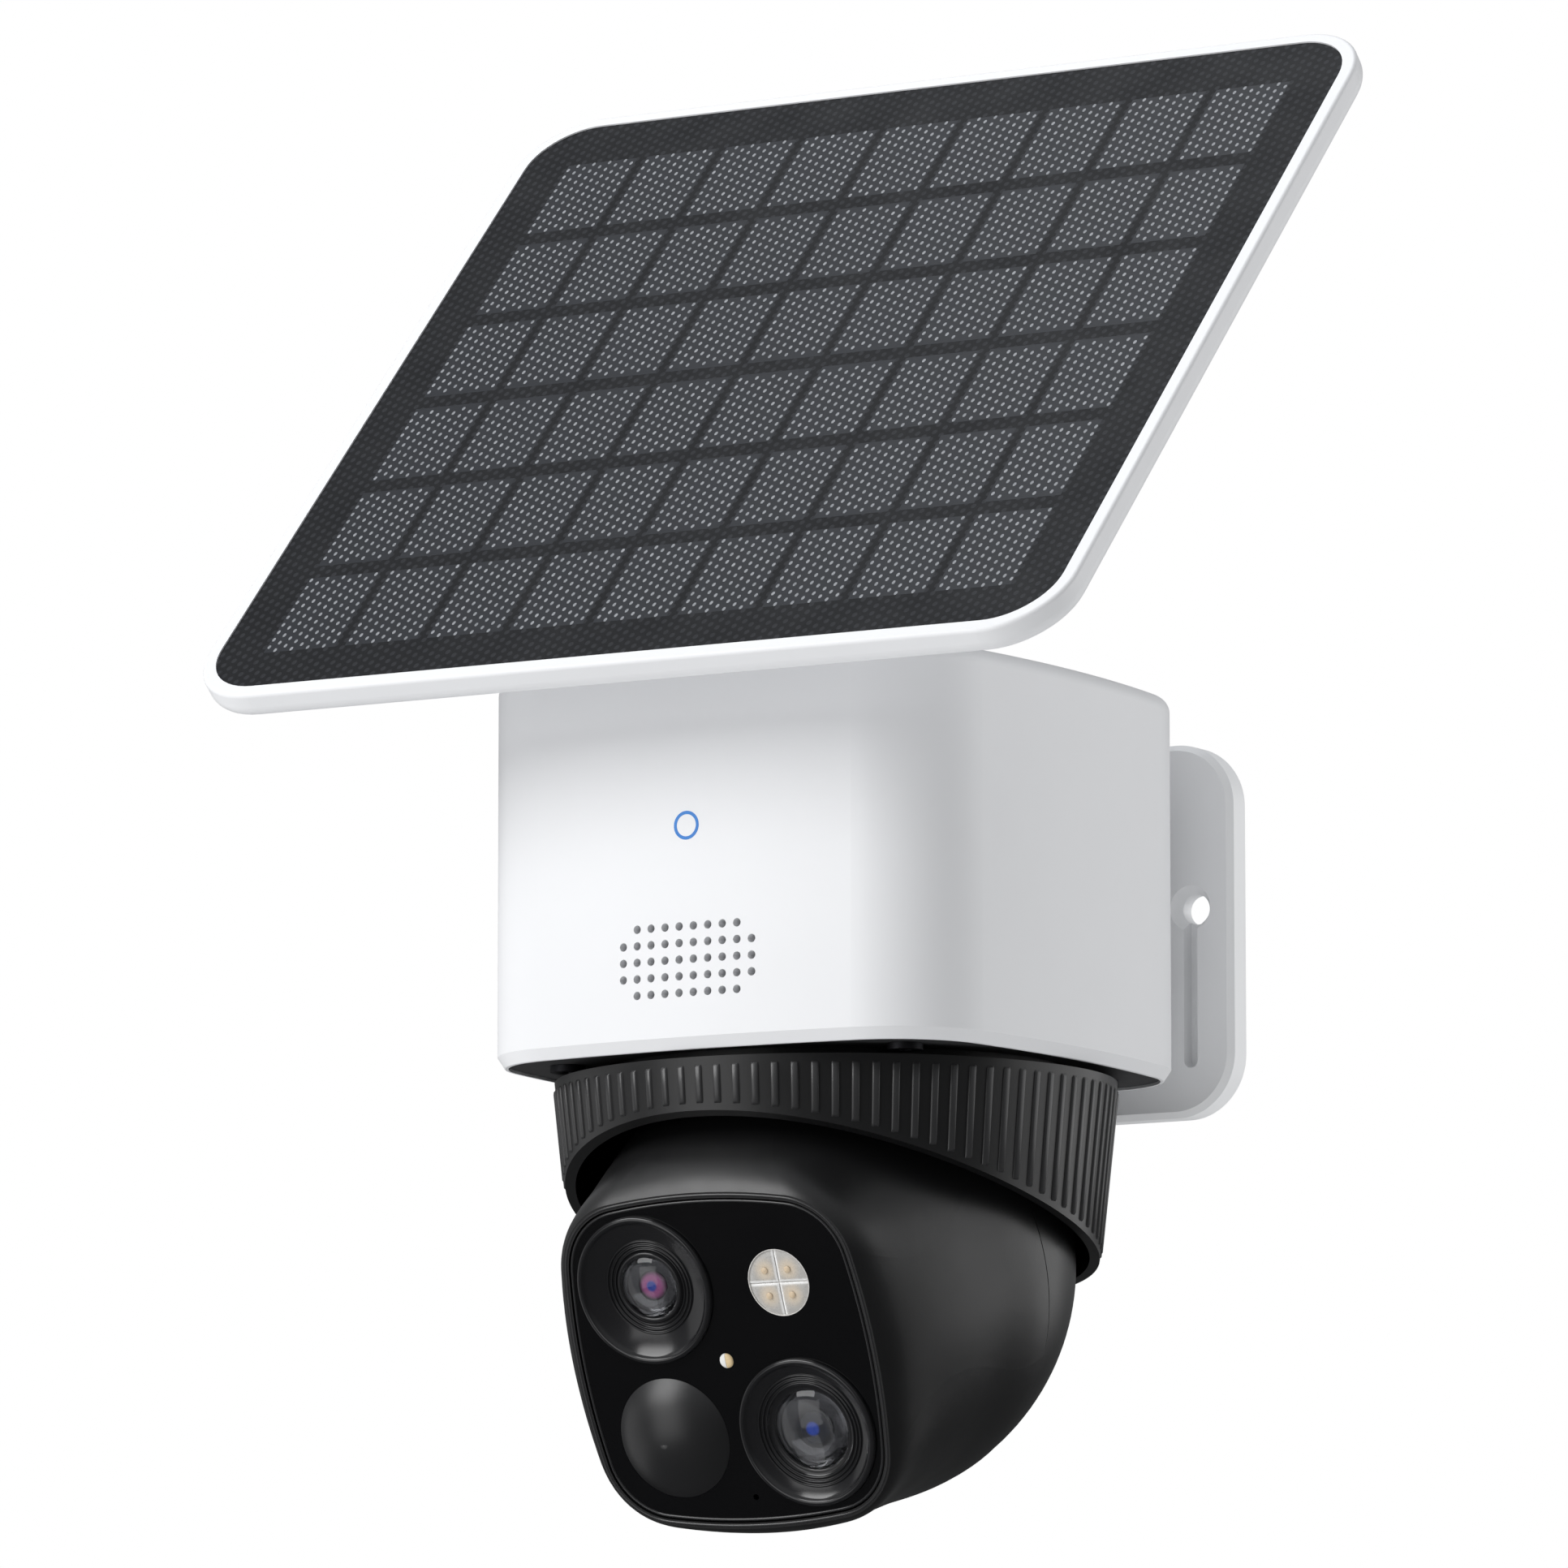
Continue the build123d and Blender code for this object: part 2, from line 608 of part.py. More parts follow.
with BuildPart() as head_rear_shell:
    with Locations(head_plane(0)):
        Sphere(ball_radius)
        Sphere(ball_radius - shell_wall, mode=Mode.SUBTRACT)
    with BuildSketch(head_plane(-0.1)):
        Rectangle(100, 100)
    extrude(amount=50, mode=Mode.SUBTRACT)
    with BuildSketch(head_side()):
        with BuildLine():
            CenterArc((0, 0), ball_radius + 2, slot_start, slot_end - slot_start)
            CenterArc((0, 0), ball_radius - shell_wall - 4, slot_start, slot_end - slot_start)
            for angle in (slot_start, slot_end):
                Line(
                    PolarLine((0, 0), ball_radius - shell_wall - 4, angle, mode=Mode.PRIVATE) @ 1,
                    PolarLine((0, 0), ball_radius + 2, angle, mode=Mode.PRIVATE) @ 1,
                )
        make_face()
    extrude(amount=slot_half, both=True, mode=Mode.SUBTRACT)
write(head_rear_shell, "head_rear_shell")

with BuildPart() as head_seal:
    with BuildSketch(head_side()):
        with Locations((0, ball_radius - shell_wall - 0.9)):
            Circle(0.75)
    revolve(axis=Axis(ball_centre, face_normal))
write(head_seal, "head_seal")

upper_lens = (-feature_offset, feature_offset)
lower_lens = (feature_offset, -feature_offset)
lamp_spot = (feature_offset, feature_offset)
pir_spot = (-feature_offset, -feature_offset)
mic_spot = (0.4, -20.6)
frame_posts = [(0.0, 18.8), (-18.8, 0.0), (18.8, 0.0)]
face_back = -2.4

with BuildPart() as face_plate:
    with BuildSketch(face_point(0, 0, face_back)):
        add(bowed_square(face_half, face_bow, face_corner))
        with Locations(upper_lens, lower_lens):
            Circle(lens_radius + 0.05, mode=Mode.SUBTRACT)
        with Locations(lamp_spot):
            Circle(lamp_radius + 0.05, mode=Mode.SUBTRACT)
        with Locations(pir_spot):
            Circle(pir_radius + 0.05, mode=Mode.SUBTRACT)
        Circle(1.15, mode=Mode.SUBTRACT)
        with Locations(mic_spot):
            Circle(0.45, mode=Mode.SUBTRACT)
    extrude(amount=2.2)
write(face_plate, "face_plate")


def lens_bezel(spot, glass_radius):
    """Stepped conical ring round a lens, flush with the face at its outer edge."""
    seat = glass_radius + 0.6
    with BuildPart() as bezel_ring:
        with BuildSketch(spot_side(spot)):
            with BuildLine():
                Polyline(
                    (lens_radius, 0.5),
                    (lens_radius, -3.2),
                    (seat, -3.2),
                    (seat, -2.2),
                    (seat + 1.2, -1.4),
                    (seat + 1.6, -1.4),
                    (lens_radius - 1.5, -0.3),
                    (lens_radius - 0.9, 0.5),
                    close=True,
                )
            make_face()
        revolve(axis=Axis(face_point(*spot).origin, face_normal))
    return bezel_ring


def lens_barrel(spot, glass_radius):
    """Lens tube behind the bezel, with a seat for the front glass."""
    with BuildPart() as barrel:
        with BuildSketch(face_point(*spot, out=-15.0)):
            Circle(glass_radius + 0.5)
        extrude(amount=13.6)
        with BuildSketch(face_point(*spot, out=-15.0)):
            Circle(glass_radius * 0.45)
        extrude(amount=13.6, mode=Mode.SUBTRACT)
        with BuildSketch(face_point(*spot, out=-2.6)):
            Circle(glass_radius + 0.02)
        extrude(amount=2, mode=Mode.SUBTRACT)
        with BuildSketch(face_point(*spot, out=-15.0)):
            RectangleRounded(13, 13, 1)
        extrude(amount=3)
    return barrel


def lens_glass(spot, glass_radius):
    """Front element: a flat-backed glass with a domed front."""
    crown = glass_radius * 0.28
    with BuildPart() as element:
        with BuildSketch(spot_side(spot)):
            with BuildLine():
                Line((0, -2.6), (glass_radius, -2.6))
                Line((glass_radius, -2.6), (glass_radius, -1.5))
                cap_arc(glass_radius, -1.5, crown)
                Line((0, -1.5 + crown), (0, -2.6))
            make_face()
        revolve(axis=Axis(face_point(*spot).origin, face_normal))
    return element


for lens_name, lens_spot, lens_glass_radius in (
    ("upper", upper_lens, upper_glass_radius),
    ("lower", lower_lens, lower_glass_radius),
):
    write(lens_bezel(lens_spot, lens_glass_radius), f"{lens_name}_lens_bezel")
    write(lens_barrel(lens_spot, lens_glass_radius), f"{lens_name}_lens_barrel")
    write(lens_glass(lens_spot, lens_glass_radius), f"{lens_name}_lens_glass")

with BuildPart() as spotlight_lens:
    with BuildSketch(face_point(*lamp_spot, out=-1.8)):
        Circle(lamp_radius)
    extrude(amount=1.7)
write(spotlight_lens, "spotlight_lens")

with BuildPart() as spotlight_board:
    with BuildSketch(face_point(*lamp_spot, out=-4.2)):
        Circle(lamp_radius)
    extrude(amount=1.0)
    with BuildSketch(face_point(*lamp_spot, out=-3.2)):
        with GridLocations(3.6, 3.6, 2, 2):
            RectangleRounded(2.4, 2.4, 0.4)
    extrude(amount=0.8)
write(spotlight_board, "spotlight_board")

pir_crown = 3.4
with BuildPart() as pir_dome:
    with BuildSketch(spot_side(pir_spot)):
        with BuildLine():
            Line((pir_radius, -2.6), (pir_radius, -0.2))
            cap_arc(pir_radius, -0.2, pir_crown)
            Line((0, pir_crown - 0.2), (0, pir_crown - 1.2))
            cap_arc(pir_radius - 1.1, -0.6, pir_crown - 0.6)
            Line((pir_radius - 1.1, -0.6), (pir_radius - 1.1, -2.6))
            Line((pir_radius - 1.1, -2.6), (pir_radius, -2.6))
        make_face()
    revolve(axis=Axis(face_point(*pir_spot).origin, face_normal))
write(pir_dome, "pir_dome")

with BuildPart() as pir_sensor:
    with BuildSketch(face_point(*pir_spot, out=-8.0)):
        Circle(4.1)
    extrude(amount=4.2)
    with BuildSketch(face_point(*pir_spot, out=-8.0)):
        Circle(4.7)
    extrude(amount=0.6)
write(pir_sensor, "pir_sensor")

with BuildPart() as indicator_light:
    with BuildSketch(face_point(0, 0, -4.0)):
        Circle(1.1)
    extrude(amount=3.9)
write(indicator_light, "indicator_light")

with BuildPart() as microphone:
    with BuildSketch(face_point(*mic_spot, out=-4.2)):
        RectangleRounded(3.6, 2.8, 0.4)
    extrude(amount=1.4)
write(microphone, "microphone")

board_out = 17.4
with BuildPart() as head_board:
    with BuildSketch(head_plane(board_out, up=-face_drop)):
        RectangleRounded(42, 40, 8)
        with Locations(*frame_posts):
            Circle(2.6, mode=Mode.SUBTRACT)
    extrude(amount=1.4)
write(head_board, "head_board")

tilt_distance = tilt_module * (tilt_gear_teeth + tilt_pinion_teeth) / 2 + 0.08
motor_out = tilt_distance * cos(radians(tilt_pinion_angle))
motor_up = tilt_distance * sin(radians(tilt_pinion_angle))
cheek_inner, cheek_thick = 9.0, 2.5
with BuildPart() as head_frame:
    for cheek_x in (cheek_inner + cheek_thick, -cheek_inner):
        with BuildSketch(head_side(cheek_x)):
            Circle(7.5)
            with Locations((7.6, 0)):
                Rectangle(15.4, 13)
        extrude(amount=cheek_thick)
    with BuildSketch(head_side(cheek_inner + cheek_thick)):
        with Locations((motor_out, motor_up)):
            Circle(8.5)
        with Locations((motor_out / 2, motor_up / 2)):
            with Locations(Rotation(0, 0, tilt_pinion_angle)):
                Rectangle(tilt_distance, 12)
    extrude(amount=cheek_thick)
    with BuildSketch(head_side(cheek_inner + cheek_thick)):
        Circle(4.0)
        with Locations((motor_out, motor_up)):
            Circle(2.2)
    extrude(amount=2 * (cheek_inner + cheek_thick), mode=Mode.SUBTRACT)
    with BuildSketch(head_plane(15.2, up=-face_drop)):
        RectangleRounded(42, 40, 8)
    extrude(amount=2)
    with BuildSketch(head_plane(17.2, up=-face_drop)):
        with Locations(*frame_posts):
            Circle(2.0)
    extrude(amount=face_reach + face_back - 17.2)
write(head_frame, "head_frame")

with BuildPart() as tilt_bushes:
    for inner_x in (cheek_inner + cheek_thick, -cheek_inner):
        with BuildSketch(head_side(inner_x)):
            Circle(3.97)
            Circle(axle_radius + fit_gap, mode=Mode.SUBTRACT)
        extrude(amount=cheek_thick)
write(tilt_bushes, "tilt_bushes")

with BuildPart() as tilt_motor:
    with BuildSketch(head_side(cheek_inner + cheek_thick + 9.0)):
        with Locations((motor_out, motor_up)):
            Circle(7.5)
    extrude(amount=9.0)
    with BuildSketch(head_side(cheek_inner + cheek_thick + 6.0)):
        with Locations((motor_out, motor_up)):
            Circle(0.8 + fit_gap)
    extrude(amount=6.0, mode=Mode.SUBTRACT)
write(tilt_motor, "tilt_motor")

with BuildPart() as tilt_pinion:
    with BuildSketch(head_side(arm_half_thick + 3.0)):
        with Locations((motor_out, motor_up)):
            add(gear_outline(tilt_pinion_teeth, tilt_module, tilt_pinion_angle + 180))
    extrude(amount=3.0)
    with BuildSketch(head_side(cheek_inner + cheek_thick + 5.0)):
        with Locations((motor_out, motor_up)):
            Circle(0.8)
    extrude(amount=cheek_inner + cheek_thick + 5.0 - arm_half_thick)
write(tilt_pinion, "tilt_pinion")

# ================================================================ solar panel
frame_bottom = -panel_thick
with BuildPart() as panel_frame:
    with BuildSketch(panel_plane(frame_bottom)):
        RectangleRounded(panel_width, panel_depth, panel_corner)
    extrude(amount=panel_thick)
    fillet(panel_frame.faces().sort_by(Axis(panel_centre, panel_normal))[0].edges(), 2.4)
    fillet(panel_frame.faces().sort_by(Axis(panel_centre, panel_normal))[-1].edges(), 0.6)
    with BuildSketch(panel_plane(-1.6)):
        RectangleRounded(panel_width - 2 * bezel, panel_depth - 2 * bezel, panel_corner - bezel)
    extrude(amount=2.0, mode=Mode.SUBTRACT)
write(panel_frame, "panel_frame")

laminate_width = panel_width - 2 * bezel - 0.2
laminate_depth = panel_depth - 2 * bezel - 0.2
with BuildPart() as solar_laminate:
    with BuildSketch(panel_plane(-1.6)):
        RectangleRounded(laminate_width, laminate_depth, panel_corner - bezel - 0.1)
    extrude(amount=1.4)
    with BuildSketch(panel_plane(-0.4)):
        with Locations((0, -cell_drop)):
            with GridLocations(cell_pitch_x, cell_pitch_y, cell_columns, cell_rows):
                Rectangle(cell_width, cell_depth)
    extrude(amount=1.0, mode=Mode.SUBTRACT)
write(solar_laminate, "solar_laminate")

with BuildPart() as solar_cells:
    with BuildSketch(panel_plane(-0.4)):
        with Locations((0, -cell_drop)):
            with GridLocations(cell_pitch_x, cell_pitch_y, cell_columns, cell_rows):
                Rectangle(cell_width - 0.02, cell_depth - 0.02)
    extrude(amount=0.2)
write(solar_cells, "solar_cells")

lug_half = 4.8
lug_plate = 2.6
lug_screw_spots = [(x, y) for x in (-13.0, 13.0) for y in (-11.0, 11.0)]
panel_side = Plane(origin=hinge_axis_point - Vector(lug_half, 0, 0), x_dir=(0, 1, 0), z_dir=(1, 0, 0))
with BuildPart() as hinge_lug:
    with BuildSketch(panel_plane(frame_bottom)):
        RectangleRounded(34, 30, 5)
    extrude(amount=-lug_plate)
    with BuildSketch(panel_side):
        Circle(hinge_radius)
        with Locations(Rotation(0, 0, panel_tilt)):
            with Locations((0, (hinge_drop - 0.1) / 2)):
                Rectangle(2 * hinge_radius, hinge_drop - 0.1)
    extrude(amount=2 * lug_half)
    with BuildSketch(panel_side):
        Circle(hinge_bolt_radius + fit_gap)
    extrude(amount=2 * lug_half, mode=Mode.SUBTRACT)
    with BuildSketch(panel_plane(frame_bottom)):
        with Locations(*lug_screw_spots):
            Circle(1.3)
    extrude(amount=-lug_plate, mode=Mode.SUBTRACT)
write(hinge_lug, "hinge_lug")

with BuildPart() as lug_screws:
    with BuildSketch(panel_plane(frame_bottom)):
        with Locations(*lug_screw_spots):
            Circle(1.28)
    extrude(amount=-lug_plate)
    with BuildSketch(panel_plane(frame_bottom - lug_plate)):
        with Locations(*lug_screw_spots):
            Circle(2.5)
            RegularPolygon(1.1, 6, mode=Mode.SUBTRACT)
    extrude(amount=-1.3)
write(lug_screws, "lug_screws")

with BuildPart() as cable_gland:
    with BuildSketch(panel_plane(frame_bottom)):
        with Locations((0, 34)):
            RectangleRounded(20, 14, 3)
    extrude(amount=-4)
    with BuildSketch(Plane(origin=panel_plane(frame_bottom - 2.4).origin, x_dir=(1, 0, 0),
                           z_dir=panel_plane(0).y_dir).offset(27)):
        Circle(1.4)
    extrude(amount=-6, mode=Mode.SUBTRACT)
write(cable_gland, "cable_gland")

# ---------------------------------------------------------------- swivel mount of the panel
hinge_up = hinge_axis_point.Z - rim_z
cheek_start, cheek_width = lug_half + 0.3, 3.6
base_top = housing_height + 0.3
fork_floor = hinge_up - 10.0
with BuildPart() as swivel_post:
    with BuildSketch(level(base_top, back=swivel_back)):
        Circle(20)
    extrude(amount=2.6)
    fillet(swivel_post.faces().sort_by(Axis.Z)[-1].edges(), 1.4)
    with BuildSketch(level(base_top + 2.0, back=swivel_back)):
        Circle(10.5)
    with BuildSketch(level(fork_floor, back=swivel_back)):
        Circle(8.8)
    loft()
    for cheek_x in (-cheek_start - cheek_width, cheek_start):
        with BuildSketch(side(cheek_x)):
            with Locations((swivel_back, hinge_up)):
                Circle(7)
            with Locations((swivel_back, hinge_up - 6)):
                Rectangle(14, 12)
        extrude(amount=cheek_width)
    with BuildSketch(side(-cheek_start - cheek_width)):
        with Locations((swivel_back, hinge_up)):
            Circle(hinge_bolt_radius + 0.02)
    extrude(amount=2 * (cheek_start + cheek_width), mode=Mode.SUBTRACT)
    with BuildSketch(level(base_top, back=swivel_back)):
        Circle(8.0)
    extrude(amount=-6.4)
write(swivel_post, "swivel_post")

with BuildPart() as swivel_retainer:
    with BuildSketch(level(housing_height - housing_roof - 0.3, back=swivel_back)):
        Circle(12)
        Circle(8.02, mode=Mode.SUBTRACT)
    extrude(amount=-3)
write(swivel_retainer, "swivel_retainer")

fork_outer = cheek_start + cheek_width
with BuildPart() as hinge_bolt:
    with BuildSketch(side(-fork_outer - 0.2)):
        with Locations((swivel_back, hinge_up)):
            Circle(hinge_bolt_radius)
    extrude(amount=2 * fork_outer + 4.0)
    with BuildSketch(side(-fork_outer)):
        with Locations((swivel_back, hinge_up)):
            Circle(4.0)
    extrude(amount=-2.4)
    with BuildSketch(side(-fork_outer - 2.4)):
        with Locations((swivel_back, hinge_up)):
            RegularPolygon(1.8, 6)
    extrude(amount=1.4, mode=Mode.SUBTRACT)
write(hinge_bolt, "hinge_bolt")

with BuildPart() as hinge_nut:
    with BuildSketch(side(fork_outer)):
        with Locations((swivel_back, hinge_up)):
            RegularPolygon(4.0, 6)
            Circle(hinge_bolt_radius + 0.02, mode=Mode.SUBTRACT)
    extrude(amount=3.0)
write(hinge_nut, "hinge_nut")
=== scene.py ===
import json
from math import asin, atan2, cos, pi, radians, sin, sqrt

import bmesh
import bpy
from mathutils import Matrix, Vector


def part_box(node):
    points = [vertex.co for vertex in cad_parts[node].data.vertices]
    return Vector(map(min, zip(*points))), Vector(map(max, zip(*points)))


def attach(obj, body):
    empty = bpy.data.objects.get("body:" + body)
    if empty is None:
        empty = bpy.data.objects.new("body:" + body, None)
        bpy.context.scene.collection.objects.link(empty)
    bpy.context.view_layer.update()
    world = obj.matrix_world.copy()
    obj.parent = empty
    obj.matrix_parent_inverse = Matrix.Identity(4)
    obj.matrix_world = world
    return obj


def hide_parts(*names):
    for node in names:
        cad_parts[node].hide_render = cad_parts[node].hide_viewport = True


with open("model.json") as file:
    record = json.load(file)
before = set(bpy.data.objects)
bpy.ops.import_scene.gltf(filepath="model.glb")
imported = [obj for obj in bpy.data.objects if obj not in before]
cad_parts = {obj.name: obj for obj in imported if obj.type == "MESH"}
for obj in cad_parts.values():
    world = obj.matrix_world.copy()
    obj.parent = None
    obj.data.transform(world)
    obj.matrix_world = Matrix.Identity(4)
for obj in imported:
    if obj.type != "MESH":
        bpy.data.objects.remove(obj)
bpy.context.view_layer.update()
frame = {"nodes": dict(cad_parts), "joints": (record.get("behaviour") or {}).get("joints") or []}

# Looks for the solar security camera. Metres, in the CAD model's own frame: +Z up, the wall at
# +Y, the camera head looking along -Y. Sizes written with MM are millimetres on the object.
MM = 0.001
nodes = frame["nodes"]
joints = {joint["name"]: joint for joint in frame["joints"]}

pan_axis = Vector(joints["pan"]["pos_m"])
rim_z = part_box("housing_shell")[0].z
ball_centre = Vector(joints["tilt"]["pos_m"])
panel_tilt = radians(46.03)
panel_forward, panel_rise = 15.49, 104.12
face_tilt = radians(21.6)
face_reach, face_drop = 34.7, 3.5

# ---------------------------------------------------------------- local frames
face_out = Vector((0, -cos(face_tilt), -sin(face_tilt)))
face_up = Vector((0, -sin(face_tilt), cos(face_tilt)))
face_middle = ball_centre + (face_out * face_reach - face_up * face_drop) * MM
panel_out = Vector((0, -sin(panel_tilt), cos(panel_tilt)))
panel_up = Vector((0, cos(panel_tilt), sin(panel_tilt)))
panel_centre = pan_axis + Vector((0, -panel_forward * MM, panel_rise * MM))


def axes_matrix(right, up, out, origin):
    """Matrix of a local frame from its three axes and its origin."""
    turn = Matrix((right, up, out)).transposed().to_4x4()
    return Matrix.Translation(origin) @ turn


def face_frame(x=0.0, up=0.0):
    """Frame at a spot of the camera face, in millimetres from its middle; Z points out of it."""
    right = Vector((1, 0, 0))
    return axes_matrix(right, face_up, face_out, face_middle + (right * x + face_up * up) * MM)


panel_matrix = axes_matrix(Vector((1, 0, 0)), panel_up, panel_out, panel_centre)


# ---------------------------------------------------------------- material graphs
class Graph:
    """One material's nodes, with short calls for the ones used over and over."""

    def __init__(self, name, **sockets):
        self.material = bpy.data.materials.new(name)
        self.material.use_nodes = True
        self.tree = self.material.node_tree
        self.shader = self.tree.nodes["Principled BSDF"]
        for socket, value in sockets.items():
            self.shader.inputs[socket.replace("_", " ")].default_value = value
        self.place = self.tree.nodes.new("ShaderNodeTexCoord").outputs["Object"]

    def node(self, kind, values, **settings):
        """New node; a value may be a number, a tuple or another node's output."""
        made = self.tree.nodes.new(kind)
        for name, setting in settings.items():
            setattr(made, name, setting)
        for socket, value in values.items():
            if isinstance(value, bpy.types.NodeSocket):
                self.tree.links.new(value, made.inputs[socket])
            else:
                made.inputs[socket].default_value = value
        return made

    def math(self, operation, first, second=0.0, third=0.0):
        return self.node("ShaderNodeMath", {0: first, 1: second, 2: third}, operation=operation).outputs[0]

    def along(self, origin, direction):
        """Distance from an origin along a direction, in millimetres."""
        offset = self.node("ShaderNodeVectorMath", {0: self.place, 1: origin}, operation="SUBTRACT")
        scaled = direction / MM
        return self.node(
            "ShaderNodeVectorMath", {0: offset.outputs[0], 1: scaled}, operation="DOT_PRODUCT"
        ).outputs["Value"]

    def distance(self, first, second):
        """Length of a flat vector from its two parts."""
        square = self.math("POWER", second, 2.0)
        return self.math("SQRT", self.math("MULTIPLY_ADD", first, first, square))

    def noise(self, size, detail=2.0, stretch=(1, 1, 1)):
        """Noise whose features are about size millimetres across."""
        mapping = self.node("ShaderNodeMapping", {"Vector": self.place, "Scale": stretch})
        values = {"Vector": mapping.outputs[0], "Scale": 1 / (size * MM), "Detail": detail}
        return self.node("ShaderNodeTexNoise", values).outputs["Fac"]

    def remap(self, value, low, high, to_low, to_high, smooth=False):
        values = {0: value, 1: low, 2: high, 3: to_low, 4: to_high}
        kind = "SMOOTHSTEP" if smooth else "LINEAR"
        return self.node("ShaderNodeMapRange", values, interpolation_type=kind).outputs[0]

    def mix(self, factor, first, second):
        """Blend of two colours; each may be a tuple or another node's output."""
        mixed = self.node("ShaderNodeMix", {0: factor}, data_type="RGBA")
        for socket, colour in ((mixed.inputs[6], first), (mixed.inputs[7], second)):
            if isinstance(colour, bpy.types.NodeSocket):
                self.tree.links.new(colour, socket)
            else:
                socket.default_value = (*colour, 1.0)
        return mixed.outputs[2]

    def colour(self, value):
        self.tree.links.new(value, self.shader.inputs["Base Color"])

    def rough(self, value):
        self.tree.links.new(value, self.shader.inputs["Roughness"])

    def bump(self, height, depth):
        """Raises the surface by depth millimetres where height is 1."""
        made = self.node("ShaderNodeBump", {"Height": height, "Distance": depth * MM, "Strength": 1.0})
        self.tree.links.new(made.outputs[0], self.shader.inputs["Normal"])


def tint(colour, share):
    return tuple(channel * share for channel in colour)


def moulded(name, colour, rough, grain=0.35, depth=0.004, spread=0.04, wear=0.05, **sockets):
    """Moulded plastic: a fine spark-eroded grain, slow colour drift and uneven sheen."""
    graph = Graph(name, **sockets)
    drift = graph.noise(22.0, 3.0)
    fine = graph.noise(grain, 3.0)
    graph.colour(graph.mix(drift, tint(colour, 1 - spread), tint(colour, 1 + spread)))
    smear = graph.noise(7.0, 4.0)
    mixed = graph.math("MULTIPLY_ADD", smear, 0.6, graph.math("MULTIPLY", fine, 0.4))
    graph.rough(graph.remap(mixed, 0.25, 0.75, rough - wear, rough + wear))
    graph.bump(fine, depth)
    return graph.material


# ---------------------------------------------------------------- solar film layout
dot_pitch_x, dot_pitch_y = 1.42, 1.75
cell_columns, cell_rows = 9, 6
cell_pitch_x, cell_pitch_y = 14.17, 20.45
cell_width, cell_depth, cell_drop = 12.5, 17.6, 0.9


# ---------------------------------------------------------------- materials
def printed_film():
    """Black textured film round the cells: a fine staggered emboss, dark on dark."""
    graph = Graph("printed_film", IOR=1.2, Coat_Weight=0.03, Coat_Roughness=0.35)
    across = graph.math("DIVIDE", graph.along(panel_centre, Vector((1, 0, 0))), dot_pitch_x)
    column = graph.math("FLOOR", across)
    odd = graph.math("MODULO", graph.math("ABSOLUTE", column), 2.0)
    slope = graph.math("DIVIDE", graph.along(panel_centre, panel_up), dot_pitch_y)
    shifted = graph.math("MULTIPLY_ADD", odd, 0.5, slope)
    offset_x = graph.math("SUBTRACT", graph.math("FRACT", across), 0.5)
    offset_y = graph.math("SUBTRACT", graph.math("FRACT", shifted), 0.5)
    dimple = graph.remap(graph.distance(offset_y, offset_x), 0.22, 0.36, 1.0, 0.0, smooth=True)
    grain = graph.noise(1.2, 3.0)
    shade = graph.math("MULTIPLY", dimple, graph.remap(grain, 0.3, 0.7, 0.7, 1.0))
    graph.colour(graph.mix(shade, (0.005, 0.0055, 0.007), (0.022, 0.023, 0.027)))
    graph.rough(graph.remap(graph.noise(9.0, 4.0), 0.3, 0.7, 0.5, 0.6))
    graph.bump(dimple, 0.02)
    return graph.material


def cell_silicon():
    """Slate monocrystalline silicon seen through the film, a little different in each cell."""
    graph = Graph("cell_silicon", IOR=1.22, Coat_Weight=0.03, Coat_Roughness=0.35)
    drift = graph.noise(16.0, 2.0)
    fine = graph.noise(0.5, 3.0)
    base = graph.mix(drift, (0.010, 0.011, 0.014), (0.017, 0.019, 0.024))
    graph.colour(graph.mix(graph.remap(fine, 0.35, 0.65, 0.0, 0.35), base, (0.030, 0.033, 0.040)))
    graph.rough(graph.remap(fine, 0.3, 0.7, 0.40, 0.52))
    graph.bump(fine, 0.01)
    return graph.material


def film_dots():
    """Light grey dots of the film, where the cells' surface texture catches the light."""
    graph = Graph("film_dots", IOR=1.3, Coat_Weight=0.05, Coat_Roughness=0.35)
    drift = graph.noise(2.2, 3.0)
    share = graph.remap(drift, 0.3, 0.7, 0.0, 1.0)
    graph.colour(graph.mix(share, (0.17, 0.18, 0.195), (0.30, 0.31, 0.33)))
    graph.rough(graph.remap(drift, 0.3, 0.7, 0.36, 0.5))
    return graph.material


def brushed_steel(name, colour, rough):
    graph = Graph(name, Metallic=1.0)
    lines = graph.noise(0.6, 3.0, stretch=(1, 8, 8))
    graph.colour(graph.mix(lines, tint(colour, 0.85), tint(colour, 1.1)))
    graph.rough(graph.remap(lines, 0.3, 0.7, rough - 0.08, rough + 0.08))
    graph.bump(lines, 0.003)
    return graph.material


def board():
    """Green solder resist with faint copper tracks under it."""
    graph = Graph("circuit_board", Coat_Weight=0.5, Coat_Roughness=0.2)
    brick = graph.node(
        "ShaderNodeTexBrick",
        {"Vector": graph.place, "Scale": 260.0, "Mortar Size": 0.03, "Color1": (0, 0, 0, 1),
         "Color2": (0.25, 0.25, 0.25, 1), "Mortar": (1, 1, 1, 1)},
    )
    graph.colour(graph.mix(brick.outputs["Fac"], (0.012, 0.075, 0.035), (0.03, 0.15, 0.07)))
    graph.rough(graph.remap(graph.noise(3.0), 0.3, 0.7, 0.35, 0.5))
    return graph.material


def blue_light():
    """Lit blue ring, a little uneven along its length."""
    graph = Graph("blue_light", Roughness=0.3, Emission_Strength=0.4)
    glow = graph.noise(1.5)
    shade = graph.mix(glow, (0.0, 0.10, 0.36), (0.0, 0.15, 0.46))
    graph.colour(shade)
    graph.tree.links.new(shade, graph.shader.inputs["Emission Color"])
    return graph.material


